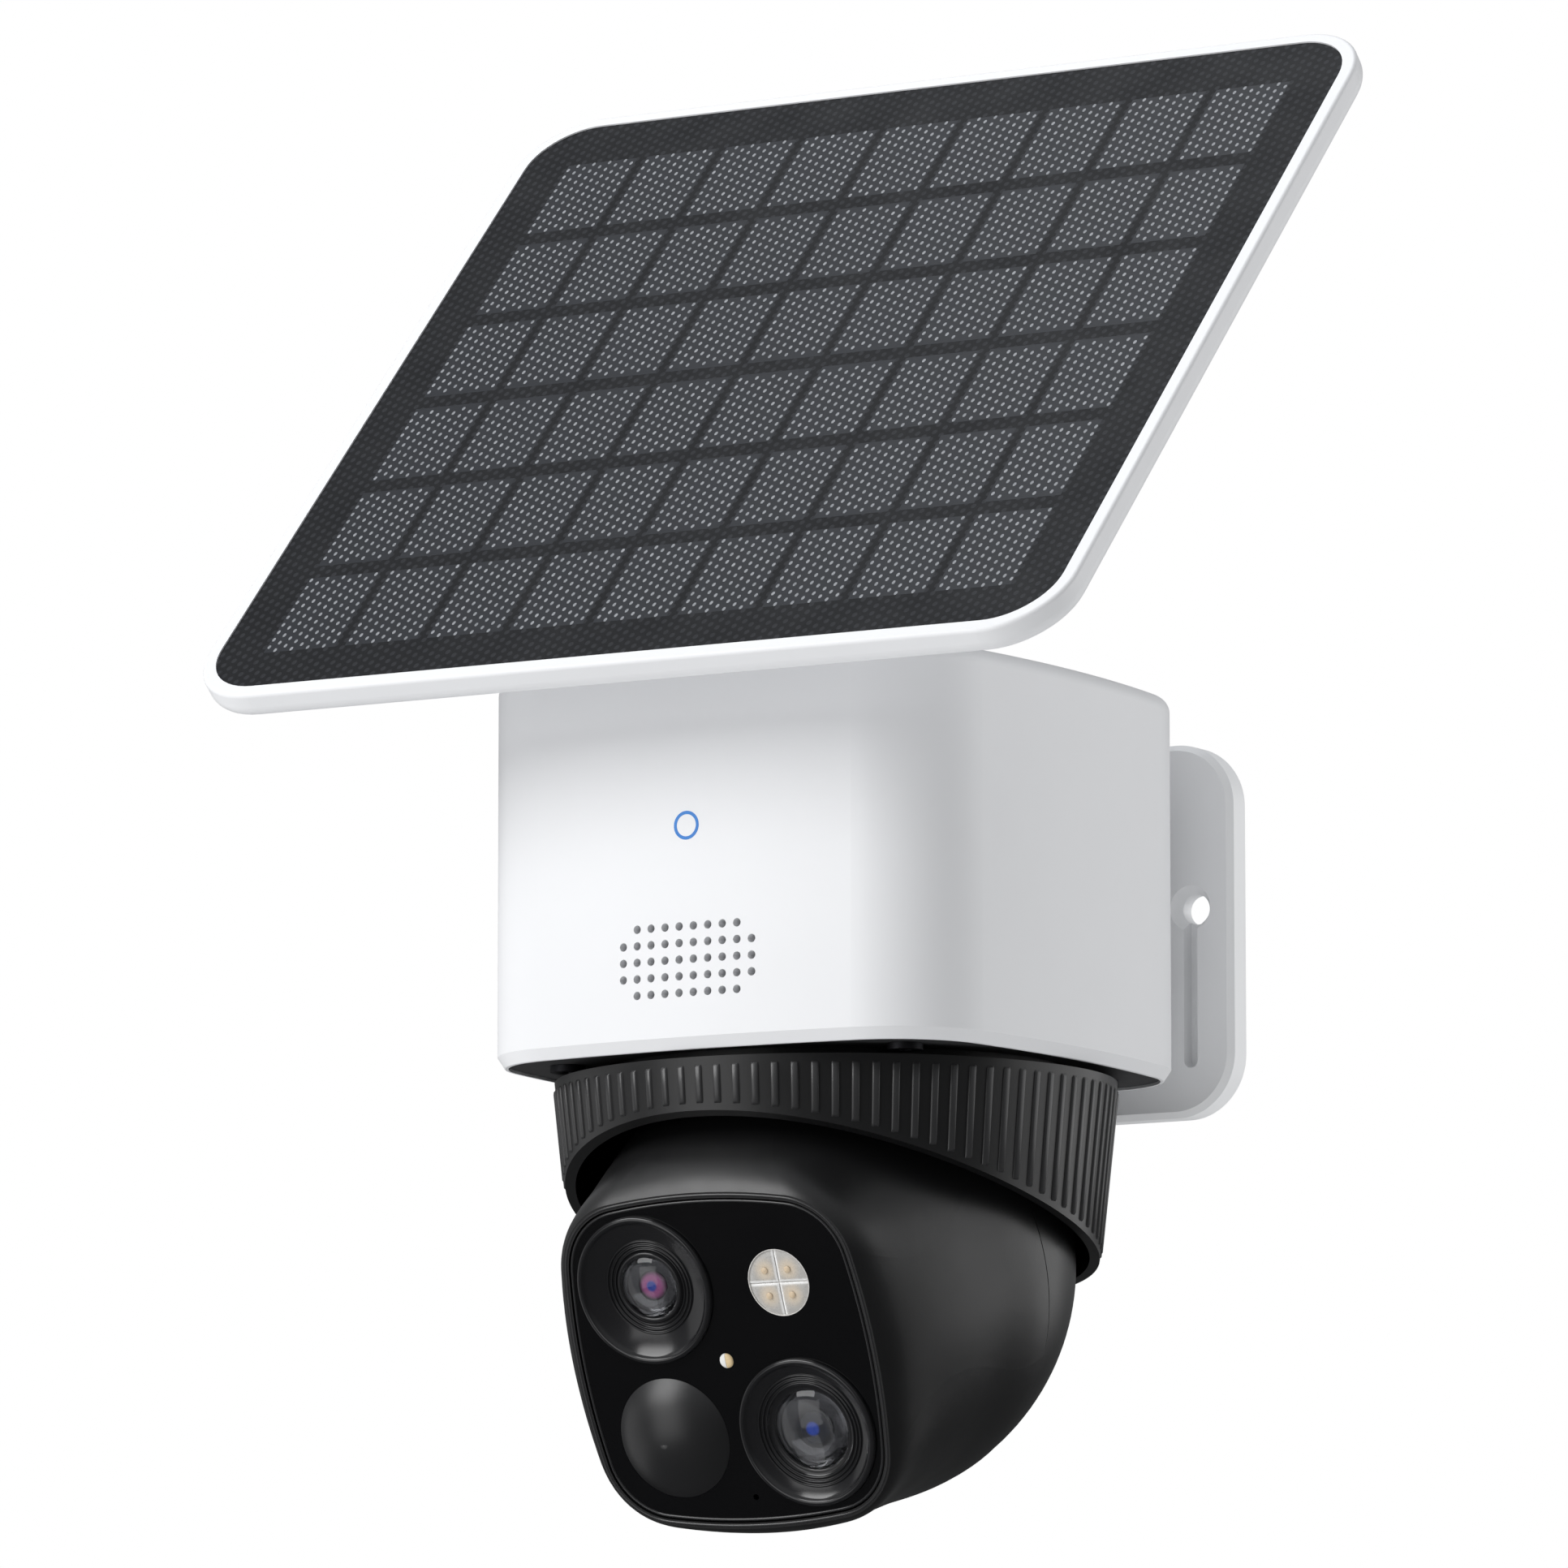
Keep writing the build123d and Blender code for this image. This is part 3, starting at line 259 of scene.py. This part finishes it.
def clear_glass():
    """Front element of a camera lens, with a faint cool coating."""
    graph = Graph("coated_glass", Transmission_Weight=1.0, IOR=1.38, Roughness=0.0)
    drift = graph.noise(6.0)
    graph.colour(graph.mix(drift, (0.86, 0.88, 0.93), (0.93, 0.93, 0.95)))
    return graph.material


def frosted(name, colour, transmission, rough):
    """Milky diffuser plastic."""
    graph = Graph(name, Transmission_Weight=transmission, IOR=1.4)
    cloud = graph.noise(1.6, 3.0)
    graph.colour(graph.mix(cloud, tint(colour, 0.93), tint(colour, 1.05)))
    graph.rough(graph.remap(cloud, 0.3, 0.7, rough - 0.06, rough + 0.06))
    graph.bump(graph.noise(0.35), 0.004)
    return graph.material


def lens_coating(name, middle, centre, ring, edge, reach):
    """Coated inner element coloured by radius: a pupil, a ring round it and a dark edge; a tinted ring is a
    painted reflection of the coating.
    """
    graph = Graph(name, Roughness=0.04, IOR=1.25)
    across = graph.along(middle, Vector((1, 0, 0)))
    up = graph.along(middle, face_up)
    radius = graph.distance(across, up)
    into_reflection_ring = graph.remap(radius, 0.18 * reach, 0.32 * reach, 0, 1, smooth=True)
    into_edge = graph.remap(radius, 0.42 * reach, 0.72 * reach, 0, 1, smooth=True)
    graph.colour(graph.mix(into_edge, graph.mix(into_reflection_ring, centre, ring), edge))
    return graph.material


finishes = {
    "white_housing": moulded(
        "white_plastic", (0.80, 0.805, 0.82), 0.46, grain=0.3, depth=0.0025, spread=0.012
    ),
    "dark_base": moulded("dark_plastic", (0.05, 0.05, 0.053), 0.55, depth=0.006, spread=0.08),
    "matt_black": moulded(
        "satin_black", (0.0075, 0.0075, 0.008), 0.37, grain=0.28, depth=0.006, spread=0.12
    ),
    "gloss_black": moulded(
        "gloss_black", (0.0020, 0.0020, 0.0024), 0.08, depth=0.0002, spread=0.2, wear=0.02
    ),
    "lens_black": moulded("lens_black", (0.010, 0.010, 0.011), 0.17, grain=0.5, depth=0.001, wear=0.03),
    "lens_glass": clear_glass(),
    "lamp_lens": frosted("lamp_diffuser", (0.78, 0.76, 0.73), 0.15, 0.32),
    "sensor_dome": moulded("sensor_dome", (0.012, 0.012, 0.013), 0.36, grain=0.4, depth=0.003, wear=0.04),
    "blue_light": blue_light(),
    "rubber": moulded("grey_rubber", (0.58, 0.585, 0.60), 0.6, grain=0.5, depth=0.006),
    "button_grey": moulded("button_grey", (0.22, 0.225, 0.23), 0.5, grain=0.4, depth=0.005),
    "frame_plastic": moulded("frame_plastic", (0.035, 0.035, 0.037), 0.55, depth=0.008, spread=0.1),
    "steel": brushed_steel("zinc_steel", (0.62, 0.62, 0.64), 0.3),
    "gear_plastic": moulded("acetal", (0.74, 0.72, 0.66), 0.4, grain=0.6, depth=0.004),
    "circuit_board": board(),
    "battery_wrap": moulded("battery_wrap", (0.05, 0.16, 0.42), 0.35, grain=2.0, depth=0.01, wear=0.08),
    "speaker_black": moulded("speaker_paper", (0.02, 0.02, 0.021), 0.7, grain=0.7, depth=0.03, spread=0.2),
    "solar_film": printed_film(),
    "solar_cell": cell_silicon(),
}
own_finishes = {
    # Painted light: the bracket is the housing's white plastic, coloured lighter than the housing to stand in
    # for light it lacks in the housing's shade.
    "wall_bracket": moulded(
        "bracket_white_painted_light", (0.93, 0.935, 0.945), 0.42, grain=0.3, depth=0.0025, spread=0.012
    ),
    "base_screws": brushed_steel("black_zinc", (0.05, 0.05, 0.055), 0.5),
}
for name, node in nodes.items():
    slot_name = node.material_slots[0].material.name.split(".")[0]
    for material_slot in node.material_slots:
        material_slot.material = own_finishes.get(name, finishes[slot_name])


# ---------------------------------------------------------------- mesh pieces
def piece(name, bm, matrix, finish, body, sharp=32, material=None):
    """Turns millimetre mesh data in a local frame into a finished piece on a body."""
    bmesh.ops.recalc_face_normals(bm, faces=bm.faces)
    mesh = bpy.data.meshes.new(name)
    bm.to_mesh(mesh)
    bm.free()
    mesh.transform(matrix @ Matrix.Scale(MM, 4))
    mesh.polygons.foreach_set("use_smooth", [True] * len(mesh.polygons))
    mesh.set_sharp_from_angle(angle=radians(sharp))
    made = bpy.data.objects.new(name, mesh)
    bpy.context.scene.collection.objects.link(made)
    made.data.materials.append(material or finishes[finish])
    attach(made, body)
    return made


def rounded(profile, radius, steps=3):
    """Profile whose inner corners are each replaced by a short arc-like run of points."""
    points = [Vector(profile[0])]
    for before, corner, after in zip(profile, profile[1:], profile[2:]):
        before, corner, after = Vector(before), Vector(corner), Vector(after)
        into, out = before - corner, after - corner
        reach = min(radius, into.length * 0.45, out.length * 0.45)
        start, end = corner + into.normalized() * reach, corner + out.normalized() * reach
        for step in range(steps + 1):
            t = step / steps
            points.append(start * (1 - t) ** 2 + corner * 2 * t * (1 - t) + end * t**2)
    points.append(Vector(profile[-1]))
    return points


def turned(name, profile, matrix, finish, body, turns=128, radius=0.12, sharp=32, material=None):
    """Surface of revolution from (radius, height) points about the frame's Z."""
    bm = bmesh.new()
    rings = []
    for reach, height in rounded(profile, radius):
        if reach < 1e-6:
            rings.append([bm.verts.new((0, 0, height))])
            continue
        angles = [2 * pi * turn / turns for turn in range(turns)]
        rings.append([bm.verts.new((reach * cos(a), reach * sin(a), height)) for a in angles])
    for inner, outer in zip(rings, rings[1:]):
        for turn in range(turns):
            corners = [ring[(turn + step) % len(ring)] for ring, step in
                       ((inner, 0), (inner, 1), (outer, 1), (outer, 0))]
            unique = list(dict.fromkeys(corners))
            if len(unique) > 2:
                bm.faces.new(unique)
    return piece(name, bm, matrix, finish, body, sharp, material)


def dome_points(reach, base, crown, steps=14):
    """Profile of a spherical cap from its rim on the base to its top on the axis."""
    sphere = (reach**2 + crown**2) / (2 * crown)
    half_angle = asin(min(1.0, reach / sphere))
    points = []
    for step in range(steps + 1):
        angle = half_angle * (1 - step / steps)
        points.append((sphere * sin(angle), base + crown - sphere * (1 - cos(angle))))
    return points


# ---------------------------------------------------------------- pan hood ribs
hood_top_radius, hood_top, hood_slope = 41.3, -1.2, sin(radians(6.0))
edge_front, edge_middle, edge_rear, edge_reach = -6.4, -22.9, -31.15, 46.0
rib_count, rib_width, rib_height = 88, 1.15, 0.32


def hood_radius(up):
    return hood_top_radius - (hood_top - up) * hood_slope


def circle_through(first, second, third):
    """Centre and radius of the circle through three points of a plane."""
    (ax, ay), (bx, by), (cx, cy) = first, second, third
    d = 2 * (ax * (by - cy) + bx * (cy - ay) + cx * (ay - by))
    squares = [x * x + y * y for x, y in (first, second, third)]
    x = (squares[0] * (by - cy) + squares[1] * (cy - ay) + squares[2] * (ay - by)) / d
    y = (squares[0] * (cx - bx) + squares[1] * (ax - cx) + squares[2] * (bx - ax)) / d
    return x, y, sqrt((ax - x) ** 2 + (ay - y) ** 2)


edge_x, edge_y, edge_radius = circle_through(
    (-edge_reach, edge_front), (0, edge_middle), (edge_reach, edge_rear)
)


def hood_edge(angle):
    """Height of the hood's lower edge at an angle round it, where 0 faces the wall."""
    up = edge_middle
    for _ in range(8):
        back = hood_radius(up) * cos(angle)
        up = edge_y - sqrt(edge_radius**2 - (back - edge_x) ** 2)
    return up


def hood_ribs():
    bm = bmesh.new()
    section = ((-0.5, -0.1), (-0.42, 0.72), (-0.25, 1.0), (0.25, 1.0), (0.42, 0.72), (0.5, -0.1))
    for rib in range(rib_count):
        angle = 2 * pi * (rib + 0.5) / rib_count
        top, bottom = hood_top - 1.2, hood_edge(angle) + 1.0
        stations = [(top, 0.0), (top - 0.35, 1.0), (bottom + 0.35, 1.0), (bottom, 0.0)]
        rows = []
        for up, share in stations:
            row = []
            for along, height in section:
                turn = angle + along * rib_width / hood_top_radius
                reach = hood_radius(up) + height * rib_height * (share if height > 0 else 1)
                row.append(bm.verts.new((reach * sin(turn), reach * cos(turn), up)))
            rows.append(row)
        for upper, lower in zip(rows, rows[1:]):
            for left in range(len(section) - 1):
                bm.faces.new((upper[left], upper[left + 1], lower[left + 1], lower[left]))
        bm.faces.new(rows[0])
        bm.faces.new(rows[-1])
    matrix = Matrix.Translation((0, pan_axis.y, rim_z))
    # Painted highlight: the ribs are the hood's black plastic, coloured four times lighter than the hood to
    # stand in for light on their raised faces.
    ribs = moulded("rib_painted_highlight", (0.030, 0.030, 0.031), 0.34, grain=0.28, depth=0.004, spread=0.15)
    return piece("hood_ribs", bm, matrix, "matt_black", "pan_unit", sharp=50, material=ribs)


hood_ribs()

# ---------------------------------------------------------------- lenses
feature_offset, lens_radius = 11.2, 11.1


def lens(name, spot, glass, pupil, ring, edge):
    """One camera lens: stepped surround, clear domed front, and the elements behind it."""
    matrix = face_frame(*spot)
    seat = glass + 0.45
    ridge_count, ridge_width = 3, 0.62
    ridge_start = seat + 0.3 + ridge_count * ridge_width
    cone_floor = -0.1 - 0.54 * (lens_radius - 1.35 - ridge_start)
    profile = [(lens_radius, -2.2), (lens_radius, 0.12), (lens_radius - 0.12, 0.42),
               (lens_radius - 0.45, 0.55), (lens_radius - 0.8, 0.5), (lens_radius - 1.15, 0.05),
               (lens_radius - 1.35, -0.1)]
    for ridge in range(ridge_count):
        radius, height = ridge_start - ridge * ridge_width, cone_floor - 0.1 * ridge
        profile += [(radius, height), (radius - 0.08, height + 0.22), (radius - 0.26, height + 0.22),
                    (radius - 0.34, height - 0.12)]
    profile += [(seat + 0.25, -1.25), (seat - 0.25, -1.25), (glass + 0.02, -1.62), (glass + 0.02, -2.6)]
    surround = turned(f"{name}_lens_surround", profile, matrix, "lens_black", "head")
    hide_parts(f"{name}_lens_bezel")
    front = turned(
        f"{name}_lens_front",
        [(0, -1.75), (glass, -1.75), *dome_points(glass, -1.5, glass * 0.28)],
        matrix, "lens_glass", "head", radius=0.02, sharp=50,
    )
    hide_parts(f"{name}_lens_glass")
    core = glass * 0.62
    tube_profile = [(glass + 0.5, -3.4), (glass + 0.5, -1.7), (glass + 0.0, -1.7), (glass - 0.3, -2.15),
                    (glass - 0.75, -2.15), (glass - 0.95, -2.5), (core + 0.35, -2.6), (core + 0.1, -2.9),
                    (core, -2.9), (core, -3.6)]
    turned(f"{name}_lens_stops", tube_profile, matrix, "lens_black", "head", radius=0.08)
    middle = matrix.translation.copy()
    coating = lens_coating(f"{name}_coating", middle, pupil, ring, edge, core)
    turned(f"{name}_lens_inner", [(core, -3.5), *dome_points(core, -3.1, core * 0.3)], matrix, "lens_glass",
           "head", radius=0.02, sharp=50, material=coating)


near_black = (0.003, 0.003, 0.004)
# Painted reflection: the upper lens's pinkish ring stands in for the coating's reflection; the lower lens's
# ring is dark.
lens("upper", (-feature_offset, feature_offset), 4.5, (0.01, 0.04, 0.30), (0.30, 0.06, 0.20), near_black)
lens("lower", (feature_offset, -feature_offset), 5.9, (0.01, 0.05, 0.36), (0.004, 0.006, 0.014), near_black)

# ---------------------------------------------------------------- spotlight, indicator, sensor
lamp_radius, lamp_gap, emitter_offset = 5.0, 0.08, 1.9


def lamp_quarter(bm, radius, turn, base, crown, steps=10):
    """A quarter of the diffuser: a quarter disc with a soft pillow and a rolled edge."""
    rows = []
    for ring in range(steps + 1):
        share = ring / steps
        reach = lamp_gap + (radius - lamp_gap) * share
        row = []
        for step in range(steps * 2 + 1):
            angle = pi / 2 * step / (2 * steps)
            x, y = reach * cos(angle), reach * sin(angle)
            x, y = max(x, lamp_gap), max(y, lamp_gap)
            roll = min((1 - share) / 0.12, 1, (x - lamp_gap) / 0.4, (y - lamp_gap) / 0.4)
            pillow = 1 - (Vector((x, y)) - Vector((1, 1)) * emitter_offset).length / (1.6 * radius)
            height = base + crown * (0.55 * sqrt(max(roll, 0)) + 0.45 * max(pillow, 0))
            row.append(bm.verts.new(Matrix.Rotation(turn, 3, "Z") @ Vector((x, y, height))))
        rows.append(row)
    for inner, outer in zip(rows, rows[1:]):
        for left in range(2 * steps):
            bm.faces.new((inner[left], outer[left], outer[left + 1], inner[left + 1]))


def diffuser_material(middle):
    """Frosted grey diffuser, warm over each of its four emitters, with painted light along its cross."""
    graph = Graph("spotlight_diffuser", Transmission_Weight=0.15, IOR=1.42)
    across = graph.math("ABSOLUTE", graph.along(middle, Vector((1, 0, 0))))
    up = graph.math("ABSOLUTE", graph.along(middle, face_up))
    offset_x = graph.math("SUBTRACT", across, emitter_offset)
    offset_y = graph.math("SUBTRACT", up, emitter_offset)
    halo = graph.remap(graph.distance(offset_x, offset_y), 0.3, 2.3, 0.85, 0.0, smooth=True)
    cloud = graph.mix(graph.noise(1.4, 3.0), (0.42, 0.41, 0.39), (0.54, 0.53, 0.51))
    warm = graph.mix(halo, cloud, (0.74, 0.62, 0.47))
    # Painted light: the cross between the quarters is coloured pale so that it reads light, not shaded, in
    # its gaps.
    painted_cross_light = graph.remap(graph.math("MINIMUM", across, up), 0.2, 0.55, 1.0, 0.0, smooth=True)
    graph.colour(graph.mix(painted_cross_light, warm, (0.88, 0.88, 0.87)))
    graph.rough(graph.remap(graph.noise(0.8, 3.0), 0.3, 0.7, 0.22, 0.34))
    graph.bump(graph.noise(0.5), 0.006)
    return graph.material


def spotlight(spot):
    matrix = face_frame(*spot)
    bm = bmesh.new()
    for quarter in range(4):
        lamp_quarter(bm, lamp_radius - 0.12, quarter * pi / 2, -0.55, 0.3)
    diffuser = piece("spotlight_diffuser", bm, matrix, "lamp_lens", "head", sharp=60,
                     material=diffuser_material(matrix.translation.copy()))
    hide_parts("spotlight_lens")
    tray = [(lamp_radius, -1.8), (lamp_radius, -0.22), (lamp_radius - 0.12, -0.22),
            (lamp_radius - 0.14, -0.58), (0, -0.58)]
    turned("spotlight_tray", tray, matrix, "lamp_lens", "head", radius=0.04)
    emitter = Graph("emitter_phosphor", Roughness=0.4)
    emitter.colour(emitter.mix(emitter.noise(0.3), (0.52, 0.40, 0.26), (0.72, 0.58, 0.42)))
    for quarter in range(4):
        angle = pi / 2 * quarter + pi / 4
        x = spot[0] + emitter_offset * sqrt(2) * cos(angle)
        y = spot[1] + emitter_offset * sqrt(2) * sin(angle)
        turned(
            f"spotlight_emitter_{quarter + 1}", [(0.5, -0.2), *dome_points(0.5, -0.1, 0.14, 6)],
            face_frame(x, y), "lamp_lens", "head", turns=32, radius=0.01, sharp=50, material=emitter.material,
        )


def indicator(radius=1.1):
    """Small two-part light: one half white, the other warm."""
    halves = (("warm", 0.0, (0.80, 0.62, 0.36)), ("white", pi, (0.86, 0.86, 0.84)))
    for name, start, colour in halves:
        bm = bmesh.new()
        rows = []
        for share, height in ((0.0, 0.12), (0.55, 0.10), (0.85, 0.02), (1.0, -0.2), (1.0, -3.5)):
            angles = [start - pi / 2 + pi * step / 16 for step in range(17)]
            reach, gap = radius * share, 0.02 * cos(start)
            rows.append([bm.verts.new((reach * cos(a) + gap, reach * sin(a), height)) for a in angles])
        for inner, outer in zip(rows, rows[1:]):
            for left in range(16):
                bm.faces.new((inner[left], outer[left], outer[left + 1], inner[left + 1]))
        bmesh.ops.remove_doubles(bm, verts=bm.verts, dist=1e-4)
        milky = frosted(f"indicator_{name}", colour, 0.1, 0.3)
        half = piece(f"indicator_{name}", bm, face_frame(), "lamp_lens", "head", sharp=50, material=milky)
    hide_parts("indicator_light")
    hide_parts("indicator_light")


spotlight((feature_offset, feature_offset))
indicator()

# ---------------------------------------------------------------- rim of the camera face
face_half, face_bow, face_corner = 24.2, 100.0, 10.0


def bowed_outline(half, bow, corner, inset, steps=12):
    """Points round a square with gently bowed sides and round corners."""
    shift = bow - half
    reach = bow - corner
    middle = (sqrt(2 * reach**2 - shift**2) - shift) / 2
    swing = atan2(middle, middle + shift)
    points = []
    for quarter in range(4):
        side = [(-swing + 2 * swing * step / (2 * steps)) for step in range(2 * steps)]
        local = [((bow - inset) * cos(a) - shift, (bow - inset) * sin(a)) for a in side]
        bend = [swing + (pi / 2 - 2 * swing) * step / steps for step in range(steps)]
        local += [(middle + (corner - inset) * cos(a), middle + (corner - inset) * sin(a)) for a in bend]
        turn = quarter * pi / 2
        points += [(x * cos(turn) - y * sin(turn), x * sin(turn) + y * cos(turn)) for x, y in local]
    return points


def rim_bead(name, inset, width, base, height, finish, rough):
    """Half-round bead that follows the face's outline and catches the light."""
    bm = bmesh.new()
    rows = []
    for step in range(7):
        angle = pi * step / 6
        rounded_inset = inset - width / 2 * cos(angle)
        outline = bowed_outline(face_half, face_bow, face_corner, rounded_inset)
        rows.append([bm.verts.new((x, y, base + height * sin(angle))) for x, y in outline])
    for inner, outer in zip(rows, rows[1:]):
        for left in range(len(inner)):
            right = (left + 1) % len(inner)
            bm.faces.new((inner[left], inner[right], outer[right], outer[left]))
    shine = moulded(f"{name}_finish", (0.02, 0.02, 0.021), rough, depth=0.001, spread=0.1, wear=0.03)
    return piece(name, bm, face_frame(), finish, "head", sharp=60, material=shine)


rim_bead("face_inner_bead", 0.28, 0.42, -0.22, 0.2, "gloss_black", 0.14)
rim_bead("face_outer_bead", -0.62, 0.5, -0.12, 0.22, "matt_black", 0.2)


# ---------------------------------------------------------------- solar film dots
def film_dot_field():
    """Raised dots over every cell, in columns that are shifted by half a step in turn."""
    bm = bmesh.new()
    half_x, half_y, top = 0.29, 0.47, 0.03
    base = -0.195
    sides = [(half_x * cos(pi / 3 * step), half_y * sin(pi / 3 * step)) for step in range(6)]
    for column in range(cell_columns):
        for row in range(cell_rows):
            middle_x = (column - (cell_columns - 1) / 2) * cell_pitch_x
            middle_y = (row - (cell_rows - 1) / 2) * cell_pitch_y - cell_drop
            first_x = int((middle_x - cell_width / 2) / dot_pitch_x) - 1
            for step_x in range(first_x, first_x + int(cell_width / dot_pitch_x) + 4):
                x = step_x * dot_pitch_x
                if abs(x - middle_x) > cell_width / 2 - 0.3:
                    continue
                shift = 0.5 * (step_x % 2)
                first_y = int((middle_y - cell_depth / 2) / dot_pitch_y) - 1
                for step_y in range(first_y, first_y + int(cell_depth / dot_pitch_y) + 4):
                    y = (step_y + shift) * dot_pitch_y
                    if abs(y - middle_y) > cell_depth / 2 - 0.4:
                        continue
                    crown = bm.verts.new((x, y, base + top))
                    rim = [bm.verts.new((x + dx, y + dy, base)) for dx, dy in sides]
                    for left in range(6):
                        bm.faces.new((rim[left], rim[(left + 1) % 6], crown))
    return piece("film_dots", bm, panel_matrix, "solar_film", "panel", sharp=80, material=film_dots())


film_dot_field()


# ---------------------------------------------------------------- back of the panel
panel_width, panel_depth, panel_corner, panel_back = 146.3, 142.3, 12.0, -4.78


def rounded_outline(width, depth, corner, inset, steps=8):
    """Points round a rectangle with round corners."""
    points = []
    for x, y, start in ((1, 1, 0), (-1, 1, pi / 2), (-1, -1, pi), (1, -1, 3 * pi / 2)):
        centre = (x * (width / 2 - corner), y * (depth / 2 - corner))
        angles = [start + pi / 2 * step / steps for step in range(steps + 1)]
        reach = corner - inset
        points += [(centre[0] + reach * cos(a), centre[1] + reach * sin(a)) for a in angles]
    return points


def panel_back_ring(name, inset, width, height):
    """Low raised bead moulded round the back of the panel."""
    bm = bmesh.new()
    rows = []
    for step in range(7):
        angle = pi * step / 6
        outline = rounded_outline(panel_width, panel_depth, panel_corner, inset - width / 2 * cos(angle))
        rows.append([bm.verts.new((x, y, panel_back - height * sin(angle))) for x, y in outline])
    for inner, outer in zip(rows, rows[1:]):
        for left in range(len(inner)):
            right = (left + 1) % len(inner)
            bm.faces.new((inner[left], inner[right], outer[right], outer[left]))
    return piece(name, bm, panel_matrix, "white_housing", "panel", sharp=60)


panel_back_ring("panel_back_bead_outer", 6.0, 1.4, 0.4)
panel_back_ring("panel_back_bead_inner", 9.0, 0.9, 0.3)

# ---------------------------------------------------------------- camera, world and lights
view_azimuth, view_elevation = radians(31.1), radians(-7.84)
view_distance, view_lens = 1.612, 252.3
view_rise, view_shift = 42.83, 7.64
view_back = Vector((sin(view_azimuth) * cos(view_elevation), -cos(view_azimuth) * cos(view_elevation),
                    sin(view_elevation)))
view_right = Vector((cos(view_azimuth), sin(view_azimuth), 0))
view_up = view_back.cross(view_right)
view_target = Vector((0, pan_axis.y, rim_z)) + (view_up * view_rise - view_right * view_shift) * MM
camera_data = bpy.data.cameras.new("camera")
camera_data.lens = view_lens
camera_data.sensor_width = 36.0
camera_data.clip_start, camera_data.clip_end = 0.05, 20.0
camera = bpy.data.objects.new("camera", camera_data)
camera.matrix_world = axes_matrix(view_right, view_up, view_back, view_target + view_back * view_distance)
bpy.context.scene.collection.objects.link(camera)
bpy.context.scene.camera = camera

bpy.context.scene.view_settings.view_transform = "Standard"
world = bpy.data.worlds.new("studio")
bpy.context.scene.world = world
world.use_nodes = True
sky = world.node_tree
background = sky.nodes["Background"]
backdrop = sky.nodes.new("ShaderNodeBackground")
backdrop.inputs["Color"].default_value = (1.0, 1.0, 1.0, 1.0)
backdrop.inputs["Strength"].default_value = 1.0
direction = sky.nodes.new("ShaderNodeTexCoord").outputs["Generated"]
split = sky.nodes.new("ShaderNodeSeparateXYZ")
sky.links.new(direction, split.inputs[0])
grade = sky.nodes.new("ShaderNodeMapRange")
grade.interpolation_type = "SMOOTHSTEP"
for socket, value in enumerate((-0.25, 0.9, 0.07, 0.52), start=1):
    grade.inputs[socket].default_value = value
sky.links.new(split.outputs["Z"], grade.inputs[0])
sky.links.new(grade.outputs[0], background.inputs["Strength"])
background.inputs["Color"].default_value = (0.97, 0.985, 1.0, 1.0)
path = sky.nodes.new("ShaderNodeLightPath")
blend = sky.nodes.new("ShaderNodeMixShader")
sky.links.new(path.outputs["Is Camera Ray"], blend.inputs[0])
sky.links.new(background.outputs[0], blend.inputs[1])
sky.links.new(backdrop.outputs[0], blend.inputs[2])
sky.links.new(blend.outputs[0], sky.nodes["World Output"].inputs[0])


def softbox(name, place, aim, width, height, power, colour=(1, 1, 1)):
    """Rectangular studio light at a place, turned to face an aim point."""
    data = bpy.data.lights.new(name, "AREA")
    data.shape = "RECTANGLE"
    data.size, data.size_y, data.energy, data.color = width, height, power, colour
    made = bpy.data.objects.new(name, data)
    made.location = place
    made.rotation_mode = "QUATERNION"
    made.rotation_quaternion = (Vector(aim) - Vector(place)).to_track_quat("-Z", "Y")
    bpy.context.scene.collection.objects.link(made)
    return made


softbox("key_light", (-0.62, -1.10, 0.62), (0, -0.05, 0), 0.8, 0.8, 12.3)
softbox("top_light", (-0.25, -0.05, 1.1), (0, -0.05, 0.08), 0.6, 0.6, 3.5, (0.93, 0.96, 1.0))
softbox("side_light", (1.15, 0.80, 0.25), (0, -0.05, 0), 1.2, 1.2, 5.6)
softbox("rim_light", (0.55, 1.25, 0.05), (0, -0.05, -0.03), 0.5, 0.8, 1.5)
softbox("left_light", (-1.15, -0.18, -0.30), (0, -0.08, -0.05), 0.9, 0.9, 1.2)
softbox("low_fill", (-0.55, -1.35, -0.30), (0, -0.08, 0.0), 0.9, 0.9, 3.9)

floor_mesh = bpy.data.meshes.new("floor")
floor_z, floor_reach = -1.3, 8.0
corners = [(floor_reach * x, floor_reach * y, floor_z) for x, y in ((-1, -1), (1, -1), (1, 1), (-1, 1))]
floor_mesh.from_pydata(corners, [], [(0, 1, 2, 3)])
floor = bpy.data.objects.new("floor", floor_mesh)
bpy.context.scene.collection.objects.link(floor)
floor_graph = Graph("pale_floor", Roughness=0.8, Emission_Color=(1, 1, 1, 1), Emission_Strength=0.3)
floor_graph.colour(floor_graph.mix(floor_graph.noise(400.0), (0.78, 0.78, 0.78), (0.82, 0.82, 0.82)))
floor.data.materials.append(floor_graph.material)
floor.visible_glossy = False
